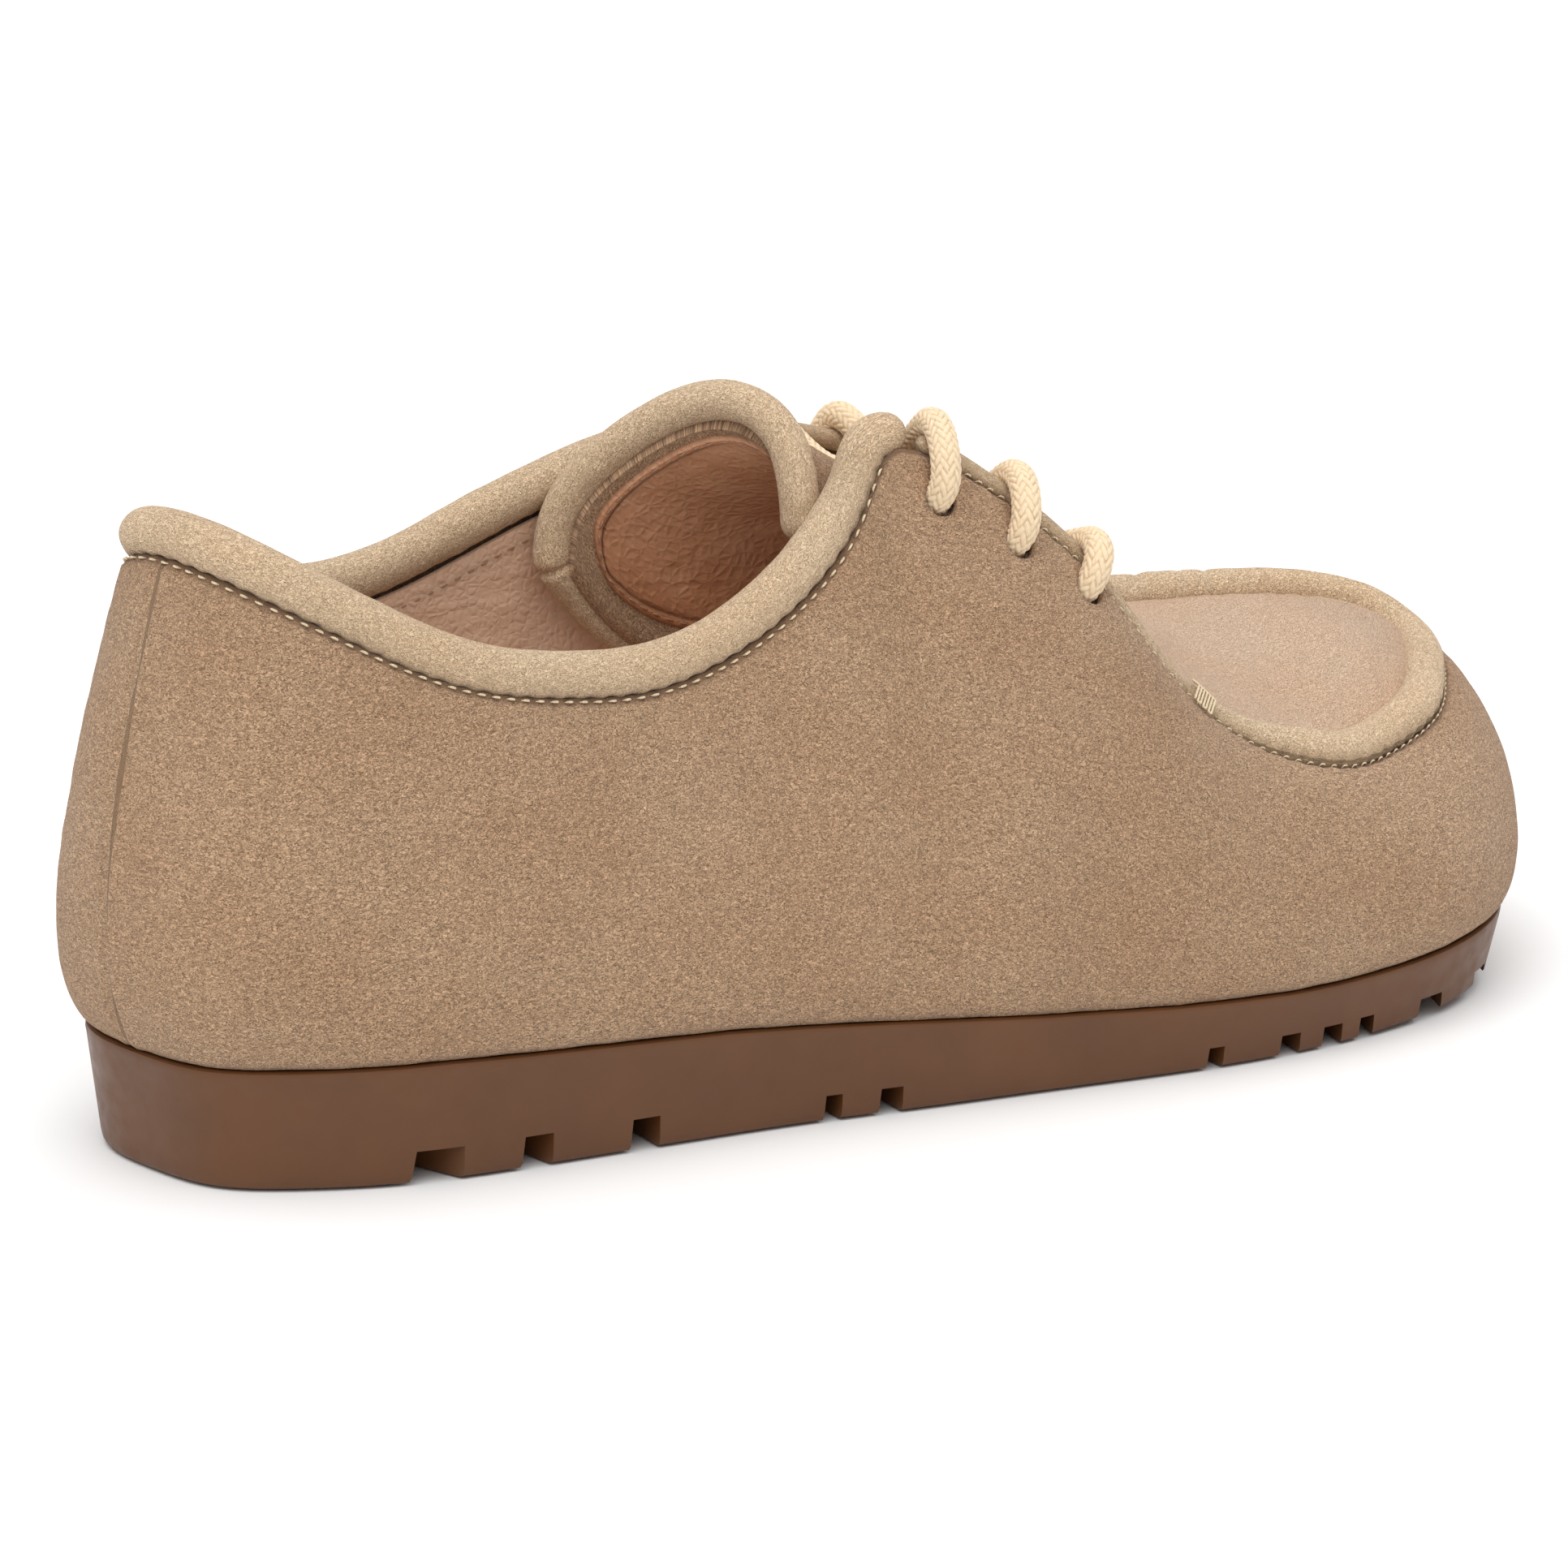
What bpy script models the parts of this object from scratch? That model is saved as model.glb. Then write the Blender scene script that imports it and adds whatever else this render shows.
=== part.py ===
"""A moc-toe lace-up moccasin for the right foot, as its separate pieces.

Lengths are in millimetres from the centre back of the sole: +X to the toe, +Y to the wearer's left
(the inner side), +Z up from the ground. placed() moves them to the shoe's own origin, the bottom
centre of its box, and turns them into metres.
"""
import bpy
import bmesh
import numpy as np
from math import cos, pi, radians, sin
from mathutils import Vector

MM = 0.001
ORIGIN = np.array([128.4, 0.7, 0.0])
GAP = 0.3
ROLL_SEAT = 0.35
UP = np.array([0.0, 0.0, 1.0])

# Driving dimensions
SUEDE = 1.6
STIFFENER = 1.0
LINING = 1.0
LINING_DEPTH = 3.2
SOLE_SHARE_OF_POCKET = 0.3
SOLE_TAPER = 1.8
SOLE_RIM = 8.5
LASTING_MARGIN = 10.0
TOE_SPRING = 5.0
SPRING_FROM = 195.0
SPRING_RUN = 65.0
COLLAR_ROLL = 3.6
TONGUE_ROLL = 3.0
APRON_CROWN = 3.0
APRON_CLEARANCE = 1.8
RING_ROLL = 2.6
FACING_ROLL = 1.3
CORD_SHARE = 0.5
BORE_SHARE = 0.64
LACE_RADIUS = 2.4
HOLE_RADIUS = 3.1
HEEL_PAD = (35.0, 1.0, 22.0, 15.0)
TOE = 18.0

# One row for each station, from the centre back round the outer side to the toe and home on the inner
# side: base x, y; top edge x, y, z; then the wall's bulge: low out, low up, high out, high down.
STATIONS = [
    (0, 0, 7, 0, 98, 9, 11, 11.5, 36),
    (5, -13.5, 13.5, -12.5, 95, 8.5, 11, 10, 34),
    (17, -22.5, 27, -20, 87.5, 7.5, 10, 9, 30),
    (35, -29, 46, -24, 78, 7, 9, 8, 24),
    (58, -31.5, 66, -24.5, 73.5, 7, 9, 8, 22),
    (80, -32.8, 83, -24, 73, 7, 9, 8, 22),
    (102, -34.5, 103, -21.5, 79, 7, 10, 9, 24),
    (120, -37, 120.5, -17.8, 92.5, 7, 11, 12, 24),
    (136, -39, 129, -16.5, 104.8, 7, 12, 14, 20),
    (152, -41, 147, -19, 95.5, 7, 12, 14, 14),
    (168, -43, 163, -23, 80.5, 7, 11, 13, 10),
    (184, -44, 176, -27.5, 62.5, 8, 10, 11, 6),
    (200, -43.3, 190, -30.5, 50.5, 8, 9, 9, 4),
    (214, -41.2, 204, -32, 45.5, 8, 9, 9, 3),
    (227, -37.5, 217, -28.5, 44.5, 8, 9, 9, 3),
    (239.5, -30, 233, -20, 46.5, 8, 9, 9, 4),
    (248, -18, 243, -9, 48.5, 8, 9, 9.5, 4),
    (254.5, -3, 250, 2, 49.5, 8, 9, 9.5, 4),
    (259, 11, 253, 13, 51, 8, 9, 9.5, 4),
    (259, 24, 250, 23, 53.5, 8, 10, 9.5, 5),
    (252, 36, 240, 30, 55.5, 8, 10, 9.5, 6),
    (238, 43, 226, 33, 56.8, 7, 10, 9.5, 7),
    (220, 45.5, 209, 33.5, 57.8, 7, 10, 9, 8),
    (202, 45, 193, 33, 60, 7, 10, 9, 9),
    (184, 43, 178, 33, 69.5, 7, 10, 8, 12),
    (166, 40, 163, 32.5, 82.5, 6, 11, 7, 16),
    (150, 36.5, 145, 32, 93, 6, 12, 6, 20),
    (135, 33.5, 122.5, 31, 98.2, 6, 12, 5, 24),
    (119, 31, 110, 32, 95.8, 6, 12, 4, 25),
    (102, 30, 94, 33, 91.5, 6, 12, 3, 25),
    (80, 30.5, 76, 33, 85.5, 6, 12, 3, 25),
    (58, 32, 57, 31.5, 80, 6.5, 11, 4, 25),
    (36, 33, 38, 29, 80.5, 7, 10, 6, 27),
    (17, 31, 20, 24.5, 87.5, 7.5, 10, 9, 31),
    (3, 23, 8.5, 17, 94, 8.5, 11, 10.5, 34),
    (-1.5, 11.5, 5, 8.5, 97.3, 9, 11, 11, 35),
]
TURNS = len(STATIONS)

# Where each stretch of the top edge starts and ends, in stations
OUTER_CORNER = 8.0
INNER_CORNER = 27.05
OUTER_FACING = (8.25, 11.2)
INNER_FACING = (24.6, 26.9)
OUTER_BARTACK = 11.6
INNER_BARTACK = 24.1
LINING_JOINS = (10.5, 25.0)
HEEL_COUNTER = (-4.8, 4.4)
TOE_PUFF = (13.4, 22.8)

# Lace holes: station and height on the wall, from the top row to the front row
OUTER_HOLES = [(8.35, 0.9), (9.05, 0.89), (9.8, 0.91)]
LACE_ENDS = ([(9.2, 0.73), (9.8, 0.62), (10.3, 0.57)], [(26.2, 0.76), (25.6, 0.66), (25.0, 0.6)])
INNER_HOLES = [(26.75, 0.9), (26.05, 0.9), (25.35, 0.9)]

# Tongue: five points across, inner edge to outer edge, from its top edge down to its base
TONGUE_ROWS = [
    [(87.5, 24.3, 82.5), (92, 22.6, 96.2), (107, 10, 109.8), (114.8, -4, 106), (116, -7.7, 89)],
    [(99, 25.5, 78), (108, 21, 92), (122, 8, 100.5), (127, -5, 98), (126, -11.5, 84)],
    [(118, 26, 74), (130, 20.5, 85), (140, 7, 90.5), (143, -8, 87), (141, -17, 77)],
    [(142, 25.5, 67), (152, 19.5, 76), (159, 6, 79), (160, -8, 74.5), (158, -18, 66)],
    [(165, 22.5, 60), (172, 17, 66), (176, 5, 67.5), (176, -8, 62.5), (173, -17, 55.5)],
    [(180, 19, 56), (185, 14, 59), (188, 4, 59.5), (188, -7, 55.5), (184, -16, 49.5)],
]
TONGUE_START = 0.31
TONGUE_HINGE = (187.0, 3.0, 57.0)

# Tread: where each groove meets the outer edge, its width, its depth and how far it is turned
OUTER_EDGE = 38.0
GROOVE_LENGTH = 130.0
GROOVES = [(43, 7, 5.5, 24), (57, 5, 5.5, 12), (74, 5, 5.5, 0), (107, 3, 4.5, 0), (117, 4, 4.5, 0),
           (175, 3, 3.8, 0), (190, 4, 3.8, -6), (199, 4, 3.8, -10), (206.5, 3, 3.8, -14),
           (221, 5, 3.4, -18), (233, 3, 3.0, -24)]

TAN = (0.56, 0.38, 0.22)
ROLL_TAN = (0.64, 0.47, 0.29)
PINK_TAN = (0.52, 0.33, 0.22)
GUM = (0.16, 0.075, 0.035)


def spline(rows, closed):
    """A smooth curve through the rows; parameter 0, 1, 2... at each row."""
    points = np.array(rows, float)
    count = len(points)
    system = 4 * np.eye(count)
    ahead = np.roll(points, -1, 0)
    behind = np.roll(points, 1, 0)
    if closed:
        system += np.roll(np.eye(count), 1, 1) + np.roll(np.eye(count), -1, 1)
    else:
        system += np.eye(count, k=1) + np.eye(count, k=-1)
        system[0, 0] = system[-1, -1] = 2
        ahead[-1] = points[-1]
        behind[0] = points[0]
    slopes = np.linalg.solve(system, 3 * (ahead - behind))

    def at(place):
        place = np.atleast_1d(np.asarray(place, float))
        place = place % count if closed else np.clip(place, 0, count - 1)
        first = np.floor(place).astype(int)
        if not closed:
            first = np.minimum(first, count - 2)
        last = (first + 1) % count
        t = (place - first)[:, None]
        return ((2 * t**3 - 3 * t**2 + 1) * points[first] + (t**3 - 2 * t**2 + t) * slopes[first]
                + (3 * t**2 - 2 * t**3) * points[last] + (t**3 - t**2) * slopes[last])
    return at


def unit(vectors):
    return vectors / np.linalg.norm(vectors, axis=-1, keepdims=True)


stations = spline(STATIONS, True)


def spring(x):
    return TOE_SPRING * np.clip((x - SPRING_FROM) / SPRING_RUN, 0, None)**2


def sole_top(x):
    """Height of the sole's top edge: thick at the heel, thin at the ball, lifted at the toe."""
    return np.interp(x, [40, 88, 115, 143, 166, 190], [20, 18, 16, 13.6, 12.2, 11.4]) + spring(x)


def base(place, inset=0.0):
    """Points of the sole's outline, moved in by the inset, and their outward directions."""
    step = 1e-3
    row = stations(place)[:, :2]
    run = unit(stations(np.asarray(place) + step)[:, :2] - stations(np.asarray(place) - step)[:, :2])
    out = np.stack([run[:, 1], -run[:, 0]], 1)
    return row - out * inset, out


def wall_surface(place, height):
    """Outer face of the upper: height 0 at the sole, 1 at the top edge."""
    row = stations(place)
    height = np.broadcast_to(np.asarray(height, float), (len(row),))[:, None]
    foot, out = base(place)
    out = np.c_[out, np.zeros(len(out))]
    low = np.c_[foot, sole_top(foot[:, 0])]
    top = row[:, 2:5]
    low_bulge = low + out * row[:, 5:6] + UP * row[:, 6:7]
    top_bulge = top + out * row[:, 7:8] - UP * row[:, 8:9]
    rest = 1 - height
    return (rest**3 * low + 3 * rest**2 * height * low_bulge
            + 3 * rest * height**2 * top_bulge + height**3 * top)


def wall_normal(place, height):
    step = 1e-3
    place = np.atleast_1d(np.asarray(place, float))
    along = wall_surface(place + step, height) - wall_surface(place - step, height)
    high = np.minimum(np.asarray(height, float) + step, 1.0)
    rising = wall_surface(place, high) - wall_surface(place, high - 2 * step)
    return unit(np.cross(along, rising))


def wall(place, height, depth=0.0):
    """A point of the wall, the given depth in from its outer face."""
    place = np.atleast_1d(np.asarray(place, float))
    return wall_surface(place, height) - wall_normal(place, height) * depth


def beyond(place):
    """Direction that leaves the wall across its top edge."""
    step = 1e-3
    place = np.atleast_1d(np.asarray(place, float))
    along = unit(wall_surface(place + step, 1.0) - wall_surface(place - step, 1.0))
    return unit(np.cross(wall_normal(place, 1.0), along))


def edge_roll(place, radius, depth):
    """Centre line of a piping roll that sits on the top edge."""
    reach = np.reshape(radius, (-1, 1)) + GAP + ROLL_SEAT
    sunk = wall_normal(place, 1.0) * np.reshape(depth, (-1, 1))
    return wall(place, 1.0) + beyond(place) * reach - sunk


def even(start, end, count):
    """Stations from start to end, evenly spaced along the outline."""
    fine = np.linspace(start, end, 400)
    line = stations(fine)[:, :5]
    steps = (np.linalg.norm(np.diff(line[:, :2], axis=0), axis=1)
             + np.linalg.norm(np.diff(line[:, 2:], axis=0), axis=1))
    run = np.r_[0, np.cumsum(steps)]
    return np.interp(np.linspace(0, run[-1], count), run, fine)


def material(name, colour, roughness=0.9, metallic=0.0):
    made = bpy.data.materials.new(name)
    made.use_nodes = True
    shader = made.node_tree.nodes["Principled BSDF"]
    shader.inputs["Base Color"].default_value = (*colour, 1)
    shader.inputs["Roughness"].default_value = roughness
    shader.inputs["Metallic"].default_value = metallic
    return made


def placed(points):
    """Points moved to the shoe's origin, in metres."""
    return [tuple((np.asarray(point) - ORIGIN) * MM) for point in points]


def make(name, points, faces, finish, pivot=None):
    """One named object from points in the shoe's millimetres."""
    mesh = bpy.data.meshes.new(name)
    mesh.from_pydata(placed(points), [], faces)
    made = bmesh.new()
    made.from_mesh(mesh)
    bmesh.ops.recalc_face_normals(made, faces=made.faces)
    made.to_mesh(mesh)
    made.free()
    mesh.shade_smooth()
    mesh.set_sharp_from_angle(angle=radians(35))
    mesh.materials.append(finish)
    piece = bpy.data.objects.new(name, mesh)
    bpy.context.scene.collection.objects.link(piece)
    if pivot is not None:
        mesh.transform(pivot.matrix_world.inverted())
        piece.parent = pivot
    return piece


def shell(name, outer, inner, finish, closed=False, pivot=None):
    """A sheet between two equal grids of points, rows by columns; closed joins the last row to the first."""
    rows, columns = outer.shape[:2]
    points = list(outer.reshape(-1, 3)) + list(inner.reshape(-1, 3))
    shift = rows * columns
    faces = []

    def at(row, column, side):
        return (row % rows) * columns + column + side * shift

    for row in range(rows if closed else rows - 1):
        for column in range(columns - 1):
            for side in (0, 1):
                faces.append((at(row, column, side), at(row + 1, column, side),
                              at(row + 1, column + 1, side), at(row, column + 1, side)))
        for column in (0, columns - 1):
            faces.append((at(row, column, 0), at(row + 1, column, 0),
                          at(row + 1, column, 1), at(row, column, 1)))
    if not closed:
        for row in (0, rows - 1):
            for column in range(columns - 1):
                faces.append((at(row, column, 0), at(row, column + 1, 0),
                              at(row, column + 1, 1), at(row, column, 1)))
    return make(name, points, faces, finish, pivot)


def wall_sheet(name, stretch, heights, depth, thickness, finish):
    """A layer of the wall between two stations, from its depth to its depth plus its thickness."""
    places = np.r_[WALL_PLACES - TURNS, WALL_PLACES]
    places = places[(places >= stretch[0]) & (places <= stretch[1])]
    outer = np.stack([wall(places, height, depth) for height in heights], 1)
    inner = np.stack([wall(places, height, depth + thickness) for height in heights], 1)
    return shell(name, outer, inner, finish)


def frames(path):
    """Two directions across a path at each point, without twist."""
    along = unit(np.gradient(path, axis=0))
    side = np.cross(along[0], UP)
    if np.linalg.norm(side) < 0.1:
        side = np.cross(along[0], (1.0, 0, 0))
    sides = []
    for direction in along:
        side = side - direction * np.dot(side, direction)
        side = side / np.linalg.norm(side)
        sides.append(side)
    sides = np.array(sides)
    return sides, np.cross(along, sides)


def rings(path, radius, sides):
    across, over = frames(path)
    turn = np.arange(sides) * 2 * pi / sides
    radius = np.broadcast_to(radius, (len(path),))[:, None, None]
    return (path[:, None] + radius * (across[:, None] * np.cos(turn)[None, :, None]
                                      + over[:, None] * np.sin(turn)[None, :, None]))


def rod(name, path, radius, sides, finish, pivot=None):
    """A solid round bar along a path."""
    loops = rings(path, radius, sides)
    count = len(path)
    faces = []
    for row in range(count - 1):
        for step in range(sides):
            after = (step + 1) % sides
            faces.append((row * sides + step, row * sides + after,
                          (row + 1) * sides + after, (row + 1) * sides + step))
    faces.append(tuple(range(sides)))
    faces.append(tuple((count - 1) * sides + step for step in range(sides)))
    return make(name, loops.reshape(-1, 3), faces, finish, pivot)


def sleeve(name, path, radius, bore, sides, finish, pivot=None):
    """A hollow roll along a path, open at both ends."""
    outer = rings(path, radius, sides).transpose(1, 0, 2)
    inner = rings(path, bore, sides).transpose(1, 0, 2)
    return shell(name, outer, inner, finish, True, pivot)


def loft(name, loops, finish):
    """A plate from equal closed loops; each end is closed by strips from side to side."""
    count = len(loops[0])
    points = np.concatenate(loops)
    faces = []
    for row in range(len(loops) - 1):
        for step in range(count):
            after = (step + 1) % count
            faces.append((row * count + step, row * count + after,
                          (row + 1) * count + after, (row + 1) * count + step))
    for first in (0, (len(loops) - 1) * count):
        faces.append((first, first + 1, first + count - 1))
        for step in range(1, count // 2 - 1):
            faces.append((first + step, first + step + 1, first + count - step - 1, first + count - step))
        half = count // 2
        faces.append((first + half - 1, first + half, first + half + 1))
    return make(name, points, faces, finish)


SIDE_STEPS = 28
WALL_PLACES = np.r_[even(0, TOE, SIDE_STEPS + 1)[:-1], even(TOE, TURNS, SIDE_STEPS + 1)[:-1]]
WALL_HEIGHTS = [0.04, 0.1, 0.2, 0.34, 0.48, 0.63, 0.79, 0.91, 1.0]


def sole_loop(inset, rise, from_ground=False):
    """A loop round the sole, the rise measured from the sole's top edge, or from its underside."""
    points, _ = base(WALL_PLACES, inset)
    level = spring(points[:, 0]) if from_ground else sole_top(points[:, 0])
    return np.c_[points, level + rise]


def pocket_floor(points_x):
    return -SOLE_SHARE_OF_POCKET * (sole_top(points_x) - spring(points_x))


def cut(piece, cutter):
    """Take the cutter out of the piece with a Boolean."""
    cutter.hide_render = True
    cutter.display_type = "WIRE"
    taken = piece.modifiers.new("cut", "BOOLEAN")
    taken.operation = "DIFFERENCE"
    taken.solver = "EXACT"
    taken.object = cutter


def box_cutter(name, centre, size, turn, finish):
    """A block to cut with, turned about Z."""
    corners = []
    for z in (-0.5, 0.5):
        for x, y in ((-0.5, -0.5), (0.5, -0.5), (0.5, 0.5), (-0.5, 0.5)):
            dx, dy = x * size[0], y * size[1]
            corners.append((centre[0] + dx * cos(turn) - dy * sin(turn),
                            centre[1] + dx * sin(turn) + dy * cos(turn), centre[2] + z * size[2]))
    faces = [(0, 1, 2, 3), (4, 5, 6, 7), (0, 1, 5, 4), (1, 2, 6, 5), (2, 3, 7, 6), (3, 0, 4, 7)]
    return make(name, corners, faces, finish)


def build_outsole():
    gum = material("gum_rubber", GUM, 0.45)
    pocket = sole_loop(SOLE_RIM, 0)
    pocket[:, 2] += pocket_floor(pocket[:, 0])
    sole = loft("outsole", [sole_loop(SOLE_TAPER + 1.2, 0, True), sole_loop(SOLE_TAPER - 0.3, 1.2, True),
                            sole_loop(-0.5, -0.6), sole_loop(0.1, 0), sole_loop(SOLE_RIM, 0), pocket], gum)
    for index, (x, width, depth, turn) in enumerate(GROOVES):
        lean = radians(turn)
        level = float(spring(np.array([x]))[0]) + depth / 2 - 2
        centre = (x - OUTER_EDGE * sin(lean), OUTER_EDGE * (cos(lean) - 1), level)
        cut(sole, box_cutter(f"groove_{index}", centre, (width, GROOVE_LENGTH, depth + 4), lean, gum))
    return sole


def build_sole_inside():
    cork = material("filler_cork", (0.35, 0.22, 0.12), 0.9)
    low = sole_loop(SOLE_RIM + GAP, GAP)
    low[:, 2] += pocket_floor(low[:, 0])
    inside_margin = LASTING_MARGIN + 0.7
    filler = loft("midsole_filler", [low, sole_loop(SOLE_RIM + GAP, -0.1), sole_loop(inside_margin, -0.1),
                                     sole_loop(inside_margin, 1.9)], cork)
    run = np.linspace(48, 148, 12)

    def strip(name, grow, finish):
        outer, inner = [], []
        for x in run + (run - 98) / 50 * grow:
            level = float(sole_top(np.array([x]))[0]) + 1.9
            outer.append([(x, side * (7 + grow), level + (3 if grow else -GAP)) for side in (-1, 1)])
            inner.append([(x, side * (7 + grow), level - 1.2 - GAP - grow) for side in (-1, 1)])
        return shell(name, np.array(outer), np.array(inner), finish)

    steel = material("shank_steel", (0.5, 0.5, 0.5), 0.35, 1.0)
    strip("shank", 0, steel)
    cut(filler, strip("shank_slot", GAP, cork))
    board = material("board_fibre", (0.42, 0.33, 0.24), 0.95)
    loft("insole_board", [sole_loop(2.5, 2.2), sole_loop(2.5, 4.2)], board)
    foam = material("footbed_foam", (0.30, 0.24, 0.19), 0.95)
    loft("footbed", [sole_loop(3.0, 4.5), sole_loop(2.6, 7.5), sole_loop(3.6, 9.0), sole_loop(12, 8.4)], foam)
    leather = material("sock_leather", PINK_TAN, 0.6)
    loft("sock_lining", [sole_loop(12, 8.7), sole_loop(3.8, 9.3), sole_loop(3.8, 10.1),
                         sole_loop(12, 9.5)], leather)
    build_heel_pad()


def build_heel_pad():
    """A soft oval pad under the heel, on the sock lining."""
    finish = material("heel_pad_gel", (0.5, 0.3, 0.2), 0.6)
    turn = np.arange(32) * 2 * pi / 32

    def oval(grow, rise):
        x, y, half_length, half_width = HEEL_PAD
        points = np.c_[x - (half_length + grow) * np.cos(turn), y - (half_width + grow) * np.sin(turn)]
        return np.c_[points, sole_top(points[:, 0]) + rise]

    loft("heel_pad", [oval(0, 9.9), oval(0, 10.6), oval(-3, 11.4)], finish)


def hole_frame(hole):
    station, height = hole
    centre = wall([station], height)[0]
    normal = wall_normal([station], height)[0]
    return centre, normal


def lace_holes(piece, finish):
    """Cut the six lace holes through a layer of the wall."""
    for side, holes in (("outer", OUTER_HOLES), ("inner", INNER_HOLES)):
        for row, hole in enumerate(holes):
            centre, normal = hole_frame(hole)
            path = np.array([centre + normal * 4, centre - normal * 7])
            cutter = rod(f"{piece.name}_punch_{side}_{row}", path, HOLE_RADIUS, 12, finish)
            cut(piece, cutter)


def build_upper():
    suede = material("suede_tan", TAN, 0.95)
    places = WALL_PLACES
    foot, _ = base(places)
    margin, _ = base(places, LASTING_MARGIN)
    level = sole_top(foot[:, 0]) + GAP
    margin_level = sole_top(margin[:, 0]) + GAP
    outer = [np.c_[margin, margin_level], np.c_[foot, level]]
    tucked, _ = base(places, 1.3)
    inner = [np.c_[margin, margin_level + SUEDE], np.c_[tucked, sole_top(tucked[:, 0]) + GAP + SUEDE]]
    for height in WALL_HEIGHTS:
        outer.append(wall(places, height))
        inner.append(wall(places, height, SUEDE))
    outer[2][:, 2] = np.maximum(outer[2][:, 2], level + 0.4)
    inner[2] = (inner[1] + inner[3]) / 2
    upper = shell("wrap_upper", np.stack(outer, 1), np.stack(inner, 1), suede, True)
    lace_holes(upper, suede)
    return upper


def build_wall_layers():
    board = material("stiffener_board", (0.55, 0.47, 0.36), 0.9)
    wall_sheet("heel_counter", HEEL_COUNTER, WALL_HEIGHTS[2:7], SUEDE + GAP, STIFFENER, board)
    wall_sheet("toe_puff", TOE_PUFF, WALL_HEIGHTS[2:8], SUEDE + GAP, STIFFENER - 0.2, board)
    webbing = material("facing_tape", (0.6, 0.52, 0.42), 0.95)
    for name, stretch in (("outer_facing_tape", OUTER_FACING), ("inner_facing_tape", INNER_FACING)):
        tape = wall_sheet(name, stretch, WALL_HEIGHTS[6:], SUEDE + GAP, STIFFENER - 0.2, webbing)
        lace_holes(tape, webbing)
    leather = material("lining_leather", PINK_TAN, 0.6)
    outer_join, inner_join = LINING_JOINS
    quarter = wall_sheet("quarter_lining", (inner_join - TURNS, outer_join), WALL_HEIGHTS[1:],
                         LINING_DEPTH, LINING, leather)
    lace_holes(quarter, leather)
    cloth = material("vamp_cloth", (0.55, 0.42, 0.30), 0.95)
    wall_sheet("vamp_lining", LINING_JOINS, WALL_HEIGHTS[1:], LINING_DEPTH + 0.2, LINING - 0.2, cloth)


def collar_path(count):
    places = even(INNER_CORNER - TURNS, OUTER_CORNER, count)
    return edge_roll(places, COLLAR_ROLL, SUEDE + 0.5)


def ring_radius(places):
    """Thin along the facings, full round the apron."""
    return np.interp(places, [8.8, 11.0, 12.6, 23.0, 24.8, 26.8],
                     [FACING_ROLL, FACING_ROLL + 0.2, RING_ROLL, RING_ROLL, FACING_ROLL + 0.2, FACING_ROLL])


def ring_depth(places):
    return np.interp(places, [8.8, 11.0, 12.6, 23.0, 24.8, 26.8], [2.1, 1.8, 0.6, 0.6, 1.8, 2.1])


def build_rolls():
    suede = material("roll_suede", ROLL_TAN, 0.95)
    cord = material("roll_cord", (0.8, 0.76, 0.68), 0.8)
    collar = collar_path(44)
    sleeve("collar_piping", collar, COLLAR_ROLL, COLLAR_ROLL * BORE_SHARE, 8, suede)
    rod("collar_cord", collar[1:-1], COLLAR_ROLL * CORD_SHARE, 6, cord)
    places = even(OUTER_FACING[0], INNER_FACING[1], 44)
    radius = ring_radius(places)
    ring = edge_roll(places, radius, ring_depth(places))
    sleeve("apron_piping", ring, radius, radius * BORE_SHARE, 8, suede)
    rod("apron_cord", ring[1:-1], (radius * CORD_SHARE - 0.1)[1:-1], 6, cord)


def apron_rows(count, columns, depth):
    """Cross strips of the apron from its rear edge to the toe, the depth under its face."""
    outer = even(OUTER_BARTACK, TOE - 0.6, count)
    inner = even(INNER_BARTACK, TOE + 0.6, count)
    share = np.linspace(0, 1, columns)[:, None]
    rows = []
    for near, far in zip(outer, inner):
        ends = []
        for station in (near, far):
            reach = 2 * ring_radius(np.array([station]))[0] + 2 * GAP + APRON_CLEARANCE
            ends.append(wall([station], 1.0)[0] + beyond([station])[0] * reach)
        width = np.linalg.norm(ends[1] - ends[0])
        rise = APRON_CROWN * min(1.0, width / 40) * 4 * share * (1 - share)
        rows.append(ends[0] + (ends[1] - ends[0]) * share + UP * (rise - depth))
    return np.array(rows)


def build_apron():
    suede = material("apron_suede", (0.60, 0.41, 0.27), 0.95)
    shell("apron", apron_rows(16, 9, 1.0), apron_rows(16, 9, 1.0 + SUEDE), suede)
    cloth = material("apron_cloth", (0.55, 0.42, 0.30), 0.95)
    upper, lower = (apron_rows(16, 9, depth + SUEDE + GAP)[3:-1, 1:-1] for depth in (1.0, 1.8))
    shell("apron_lining", upper, lower, cloth)


def tongue_surface(across, down):
    """A point of the tongue's outer face; across 0 to 4 from its inner to its outer edge, down 0 to 5."""
    column = np.stack([spline(row, False)(across) for row in TONGUE_ROWS])
    return np.stack([spline(column[:, index], False)([down])[0] for index in range(column.shape[1])])


def tongue_layer(across, downs, depth):
    step = 1e-3
    rows = []
    for down in downs:
        centre = tongue_surface(across, down)
        along = tongue_surface(across + step, down) - tongue_surface(across - step, down)
        falling = tongue_surface(across, min(down + step, 5)) - tongue_surface(across, max(down - step, 0))
        normal = unit(np.cross(along, falling))
        normal = normal * np.sign(normal[len(normal) // 2, 2])
        rows.append(centre - normal * depth)
    return np.array(rows)


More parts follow.
